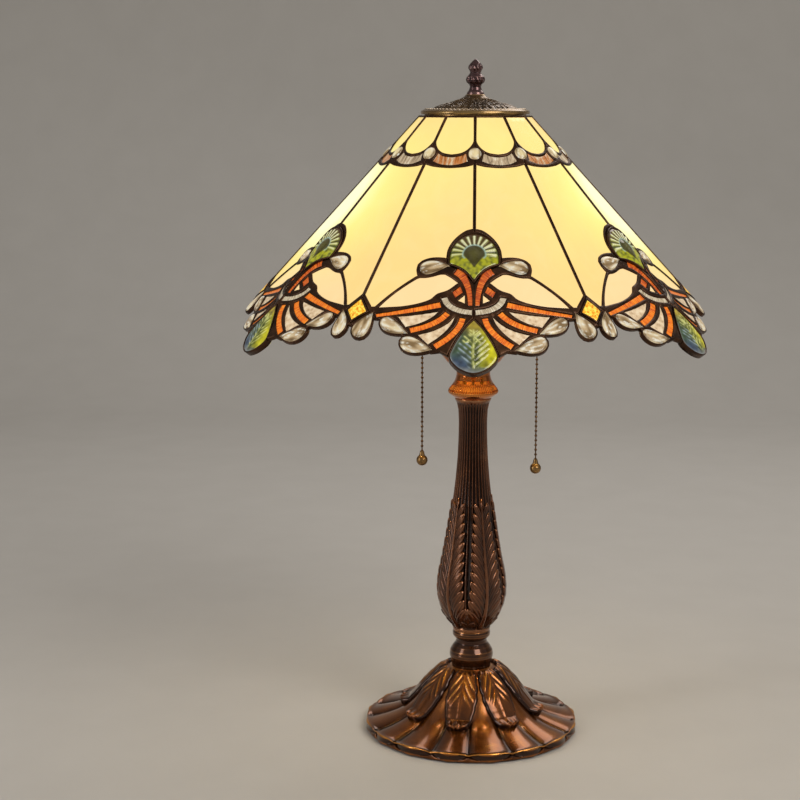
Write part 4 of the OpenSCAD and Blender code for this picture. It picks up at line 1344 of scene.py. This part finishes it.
def base_leaves(material):
    """Eight leaves that lie down the slope of the base and curl up at their tips."""
    line = outer_line("base_casting", 9.2 * MM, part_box("base_casting")[1].z - 0.2 * MM, LOBE_TURN)
    ground = Ground(line)
    first, last = np.interp([-64 * MM, -20 * MM], -line[:, 0], ground.along)
    rows, columns = 56, 45
    a, c = np.meshgrid(np.linspace(0, 1, rows), np.linspace(-1, 1, columns), indexing="ij")
    scallop = np.abs(np.sin(np.pi * 5.2 * a)) * unit((0.72 - a) * 6)
    half = 14.8 * MM * np.sin(np.pi * (0.13 + 0.70 * a)) ** 0.7 * (0.94 + 0.06 * scallop)
    half = half * np.sqrt(np.clip(1 - unit((a - 0.95) / 0.052) ** 2, 0.3, 1))
    length = last - first
    along = last - a * length
    across = c * half
    side = np.abs(c)
    phase = (a * length - np.abs(across) * 1.9) / (9.5 * MM)
    strokes = unit(np.cos(2 * math.pi * phase)) ** 1.4 * unit(side * 4)
    veins = strokes * unit((0.60 - a) * 6) * unit((0.80 - side) * 6)
    border = peak(side - 0.86, 0.10)
    midrib = peak(across, 1.3 * MM) * unit((0.9 - a) * 5)
    body = 0.6 + 2.6 * np.sqrt(unit(1 - side ** 4)) + 0.9 * veins + 0.5 * border
    body = body + 0.5 * midrib - 0.6 * (1 - side ** 2) * unit((0.7 - a) * 4)
    curl = unit((a - 0.82) / 0.18)
    roll = 3.6 * curl ** 1.5 - 2.4 * unit((a - 0.93) / 0.07) ** 2
    bumps = 0.9 * np.cos(3 * math.pi * c) * curl
    over = (body + roll + bumps) * MM
    under = np.where(a < 0.78, -1.5 * MM, np.maximum(over - 2.6 * MM, -0.4 * MM))
    b = Builder()
    # Colour value: brighter on the veins, the midrib and the curled tip, wear and a painted highlight;
    # darker at the edges, a painted undercut shadow. The undersides get 0.05, a painted shade under the
    # curled tips.
    painted_light_and_wear = 0.34 + 0.55 * veins + 0.10 * midrib + 0.16 * curl - 0.7 * side ** 8
    relief = []
    for k in range(8):
        azimuth = LOBE_TURN + k * LOBE_PAIR
        top = ground.place(azimuth, -across, along, over)
        plate(b, top, ground.place(azimuth, -across, along, under))
        relief += [painted_light_and_wear.ravel(), np.full(painted_light_and_wear.size, 0.05)]
    obj = b.build("base_leaves")
    store(obj, "relief", np.concatenate(relief), "FLOAT")
    return dress(obj, material)


# ---------------------------------------------------------------- collar, cup, cap and finial
def collar_shape(theta, radius, height, out):
    """Fine gadroons round the collar's lip."""
    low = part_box("copper_collar")[0].z
    lip = window(height, low + 3 * MM, low + 14 * MM, 3.5 * MM) * unit(out[:, :1] * 2)
    return -0.42 * MM * lip * (0.5 + 0.5 * np.cos(64 * theta))


def cup_shape(theta, radius, height, out):
    """Twelve rounded petals round the cup."""
    u = (theta * 12 / (2 * math.pi)) % 1 * 2 - 1
    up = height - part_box("cluster_cup")[0].z
    petals = (1 - np.sqrt(1 - 0.96 * u ** 2)) * unit((up - 3 * MM) / (8 * MM))
    return -1.1 * MM * petals * unit(out[:, :1] * 2)


def cap_shape(theta, radius, height, out):
    """Scrolls over a sunk field, between a beaded ring and a ring of small petals; the field's painted
    shade makes them look pierced.
    """
    above = unit(out[:, 1:2] * 3)
    t = unit((radius - 12 * MM) / (27 * MM))
    wave = 0.42 * np.sin(2 * math.pi * (1.5 * t))
    width = (0.9 * MM) / np.maximum(radius, 6 * MM)
    scrolls = np.zeros((len(radius), theta.shape[1]))
    for way in (-1, 1):
        off = (theta + way * wave + math.pi / 12) % (math.pi / 6) - math.pi / 12
        scrolls = np.maximum(scrolls, peak(off, width))
    field = window(radius, 11 * MM, 40 * MM, 2 * MM)
    petal = np.abs(np.sin(18 * theta)) * window(radius, 29 * MM, 39 * MM, 3 * MM) * 0.7
    beads = np.abs(np.cos(36 * theta)) ** 0.6 * window(radius, 40.2 * MM, 43.6 * MM, 1.2 * MM)
    stem = peak((theta + math.pi / 12) % (math.pi / 6) - math.pi / 12, width * 0.7)
    fine = 0.25 * np.cos(96 * theta) * window(radius, 12 * MM, 22 * MM, 2 * MM)
    relief = np.maximum.reduce([scrolls, petal, 0.6 * stem]) * field + 0.8 * beads + fine * field
    return above * MM * (1.0 * relief - 0.9 * field)


def finial_shape(theta, radius, height, out):
    """Ribs that wind round the finial's knob and its bud."""
    up = (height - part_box("finial")[0].z) / MM
    ribs = 0.5 + 0.5 * np.cos(10 * theta + up * 0.55)
    knob = window(up, 7.8, 16.3, 2.5) + 0.7 * window(up, 19.8, 27.3, 2)
    return -0.75 * MM * ribs * knob * unit(radius / (3 * MM))


def cast_metal(name, dark, middle, bright, rough, metallic=0.8, coat=0.5):
    """Metal under a coloured lacquer: dark in its hollows, a painted shade, and bright on its ridges,
    partly wear and partly a painted highlight.
    """
    s = Shader(name, Metallic=metallic, Coat_Weight=coat, Coat_Roughness=0.1)
    relief = attribute(s, "relief", "Fac")
    cloud = s.noise(35, 5, 0.6, 0.5)
    fine = s.noise(520, 3, 0.6)
    value = s.math("ADD", relief, s.range(cloud, 0.3, 0.7, -0.14, 0.14))
    s.colour(s.ramp(value, [(0.12, dark), (0.5, middle), (0.95, bright)]))
    s.rough(s.range(cloud, 0.3, 0.7, rough - 0.05, rough + 0.08))
    s.normal(s.bump(fine, 0.06, 0.0002, s.bump(cloud, 0.10, 0.0008)))
    return s.material


def plain_metal(name, low, high, rough):
    """Turned or drawn metal with fine marks round it and faint stains."""
    s = Shader(name, Metallic=1.0, Coat_Weight=0.1, Coat_Roughness=0.15)
    marks = s.noise(1.0, 5, 0.65, 0.0, s.stretched((60, 60, 600)))
    cloud = s.noise(60, 4, 0.6)
    value = s.math("ADD", s.math("MULTIPLY", marks, 0.5), s.math("MULTIPLY", cloud, 0.5))
    s.colour(s.ramp(value, [(0.35, low), (0.65, high)]))
    s.rough(s.range(value, 0.3, 0.7, rough + 0.1, rough - 0.05))
    s.normal(s.bump(marks, 0.08, 0.0002))
    return s.material


def grainy(name, low, high, rough, scale, depth):
    """A dull surface such as felt, board or raw iron."""
    s = Shader(name, Roughness=rough)
    grain = s.noise(scale, 6, 0.7)
    cloud = s.noise(scale / 12, 3, 0.5)
    value = s.math("ADD", s.math("MULTIPLY", grain, 0.6), s.math("MULTIPLY", cloud, 0.4))
    s.colour(s.ramp(value, [(0.35, low), (0.65, high)]))
    s.normal(s.bump(grain, depth, 0.0005))
    return s.material


def frosted_bulb():
    """Lit frosted glass, brightest over the lamp's filament."""
    s = Shader("frosted_bulb", Roughness=0.35)
    cloud = s.noise(50, 3, 0.5)
    tint = s.ramp(cloud, [(0.3, (1.0, 0.80, 0.50)), (0.7, (1.0, 0.88, 0.64))])
    s.colour(tint)
    s.glow(tint, s.range(glow_level(s), 3.0, 6.5, 1.5, 3.2))
    s.normal(s.bump(cloud, 0.05, 0.0003))
    return s.material


def finish_nodes(nodes, material):
    """Gives CAD nodes that stay as they are their material."""
    for node in nodes:
        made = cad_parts[node].data.materials
        made.clear()
        made.append(material)


def stand():
    """Every metal piece that shows, in place of its plain CAD node."""
    bronze = cast_metal("lacquered_bronze", (0.030, 0.008, 0.002), (0.24, 0.070, 0.008),
                        (0.70, 0.30, 0.045), 0.20)
    brown = cast_metal("brown_bronze", (0.016, 0.005, 0.002), (0.17, 0.060, 0.022),
                       (0.42, 0.18, 0.070), 0.22)
    deep_brown = cast_metal("deep_brown_bronze", (0.016, 0.005, 0.002), (0.070, 0.023, 0.008),
                            (0.50, 0.21, 0.055), 0.18)
    copper = cast_metal("bright_copper", (0.13, 0.022, 0.004), (0.62, 0.18, 0.025),
                        (0.98, 0.42, 0.10), 0.11, metallic=1.0)
    antique = cast_metal("antique_cap", (0.016, 0.008, 0.003), (0.13, 0.070, 0.024),
                         (0.42, 0.27, 0.10), 0.24, coat=0.3)
    dark = cast_metal("dark_finial", (0.02, 0.008, 0.010), (0.10, 0.045, 0.045),
                      (0.42, 0.25, 0.22), 0.22)
    base(bronze)
    base_leaves(bronze)
    round_part("base_ring_knob", "base_knob", 0.5 * MM, 144, deep_brown)
    round_part("fluted_column", "column_casting", 1.5 * MM, 384, brown, column_shape)
    column_leaves(brown)
    round_part("collar_spun", "copper_collar", 0.45 * MM, 512, copper, collar_shape)
    round_part("cup_petals", "cluster_cup", 0.6 * MM, 360, copper, cup_shape)
    round_part("filigree_cap", "vase_cap", 0.5 * MM, 480, antique, cap_shape)
    round_part("finial_turned", "finial", 0.35 * MM, 200, dark, finial_shape)


def hidden_metal():
    """Finishes of the CAD nodes that stay as they are."""
    brass = plain_metal("satin_brass", (0.50, 0.33, 0.12), (0.80, 0.60, 0.28), 0.24)
    old_brass = plain_metal("old_brass", (0.16, 0.085, 0.03), (0.46, 0.28, 0.11), 0.28)
    finish_nodes(["base_nut", "cluster_nuts", "riser_pipe", "finial_stud", "socket_caps",
                  "socket_shells", "centre_contacts", "chain_guides"], brass)
    finish_nodes(["cluster_body", "cluster_cover", "shade_top_ring", "left_pull_ball",
                  "right_pull_ball"], old_brass)
    finish_nodes(["left_pull_stub", "right_pull_stub", "left_pull_chain", "right_pull_chain"],
                 plain_metal("dark_chain", (0.06, 0.028, 0.012), (0.20, 0.11, 0.05), 0.3))
    finish_nodes(["lamp_pipe", "base_washer", "left_switch_lever", "right_switch_lever"],
                 plain_metal("zinc_steel", (0.42, 0.42, 0.44), (0.66, 0.66, 0.68), 0.3))
    finish_nodes(["screw_shells", "left_bulb_cap", "right_bulb_cap"],
                 plain_metal("drawn_aluminium", (0.66, 0.66, 0.65), (0.86, 0.86, 0.84), 0.22))
    for node, finish, low, high, rough, scale, depth in (
            ("base_weight", "raw_iron", (0.06, 0.06, 0.065), (0.16, 0.15, 0.15), 0.7, 260, 0.5),
            ("felt_pad", "green_felt", (0.03, 0.07, 0.04), (0.06, 0.12, 0.07), 0.95, 900, 0.9),
            ("socket_liners", "grey_board", (0.30, 0.24, 0.17), (0.48, 0.40, 0.29), 0.85, 400, 0.3),
            ("switch_bodies", "brown_phenolic", (0.035, 0.020, 0.014), (0.07, 0.04, 0.03), 0.35,
             300, 0.1),
            ("cord_bushing", "black_bushing", (0.012, 0.012, 0.012), (0.03, 0.03, 0.03), 0.45,
             300, 0.15)):
        finish_nodes([node], grainy(finish, low, high, rough, scale, depth))
    finish_nodes(["left_bulb_glass", "right_bulb_glass"], frosted_bulb())


# ---------------------------------------------------------------- light, camera and stage
def new_light(name, kind, place, energy, colour):
    """A light in the scene, and its data."""
    light = bpy.data.lights.new(name, kind)
    light.energy = energy
    light.color = colour
    obj = bpy.data.objects.new(name, light)
    obj.location = place
    bpy.context.scene.collection.objects.link(obj)
    return obj, light


def lamp_lights():
    """The two lit bulbs."""
    for hand in HANDS:
        centre, radius = bulb_centre(hand)
        light = new_light(hand + "_bulb_light", "POINT", centre, 3.4, (1.0, 0.78, 0.50))[1]
        light.shadow_soft_size = radius * 1.05


def soft_box(name, place, target, size, energy, colour):
    """A rectangular area light that faces a target."""
    obj, light = new_light(name, "AREA", place, energy, colour)
    light.shape = "RECTANGLE"
    light.size, light.size_y = size
    obj.rotation_mode = "QUATERNION"
    obj.rotation_quaternion = (Vector(target) - Vector(place)).to_track_quat("-Z", "Y")


def studio():
    """A pale floor that curves up into a pale wall, plain soft lights and a dim even sky."""
    middle = (0, 0, 0.3)
    soft_box("key_light", (1.3, -1.5, 1.7), middle, (1.2, 1.2), 26, (1.0, 0.95, 0.88))
    soft_box("left_light", (-1.7, -0.9, 0.9), middle, (0.5, 1.6), 10, (1.0, 0.97, 0.93))
    soft_box("back_light", (0.4, 1.2, 1.5), middle, (1.4, 0.8), 8, (1.0, 0.95, 0.9))
    world = bpy.data.worlds.new("even_sky")
    world.use_nodes = True
    sky = world.node_tree.nodes["Background"].inputs
    sky["Color"].default_value = (0.95, 0.92, 0.88, 1)
    sky["Strength"].default_value = 0.32
    bpy.context.scene.world = world

    radius, back, half, top = 0.9, 2.4, 16.0, 5.0
    line = [(-half, 0.0), (back - radius, 0.0)]
    line += [(back - radius + radius * math.sin(a), radius - radius * math.cos(a))
             for a in np.linspace(0.05, math.pi / 2, 24)]
    line += [(back, top)]
    co = [(x, y, z) for y, z in line for x in (-half, half)]
    faces = [(2 * i, 2 * i + 1, 2 * i + 3, 2 * i + 2) for i in range(len(line) - 1)]
    mesh = bpy.data.meshes.new("floor")
    mesh.from_pydata(co, [], faces)
    mesh.polygons.foreach_set("use_smooth", [True] * len(mesh.polygons))
    floor = bpy.data.objects.new("floor", mesh)
    bpy.context.scene.collection.objects.link(floor)
    s = Shader("pale_paper", Roughness=0.85)
    s.colour(s.ramp(s.noise(14, 4), [(0.3, (0.52, 0.50, 0.47)), (0.7, (0.54, 0.52, 0.49))]))
    mesh.materials.append(s.material)


def camera():
    """The photograph's view: from the front, a little above the middle of the lamp."""
    cam = bpy.data.cameras.new("camera")
    cam.lens = 76.5
    cam.sensor_width = 36
    cam.clip_start, cam.clip_end = 0.05, 30
    obj = bpy.data.objects.new("camera", cam)
    obj.location = (0, -1.468, 0.552)
    obj.rotation_euler = (math.radians(90 - 9.81), 0, math.radians(2.5))
    bpy.context.scene.collection.objects.link(obj)
    bpy.context.scene.camera = obj
    bpy.context.scene.view_settings.view_transform = "Standard"


camera()
studio()
lamp_lights()
shade()
stand()
hidden_metal()
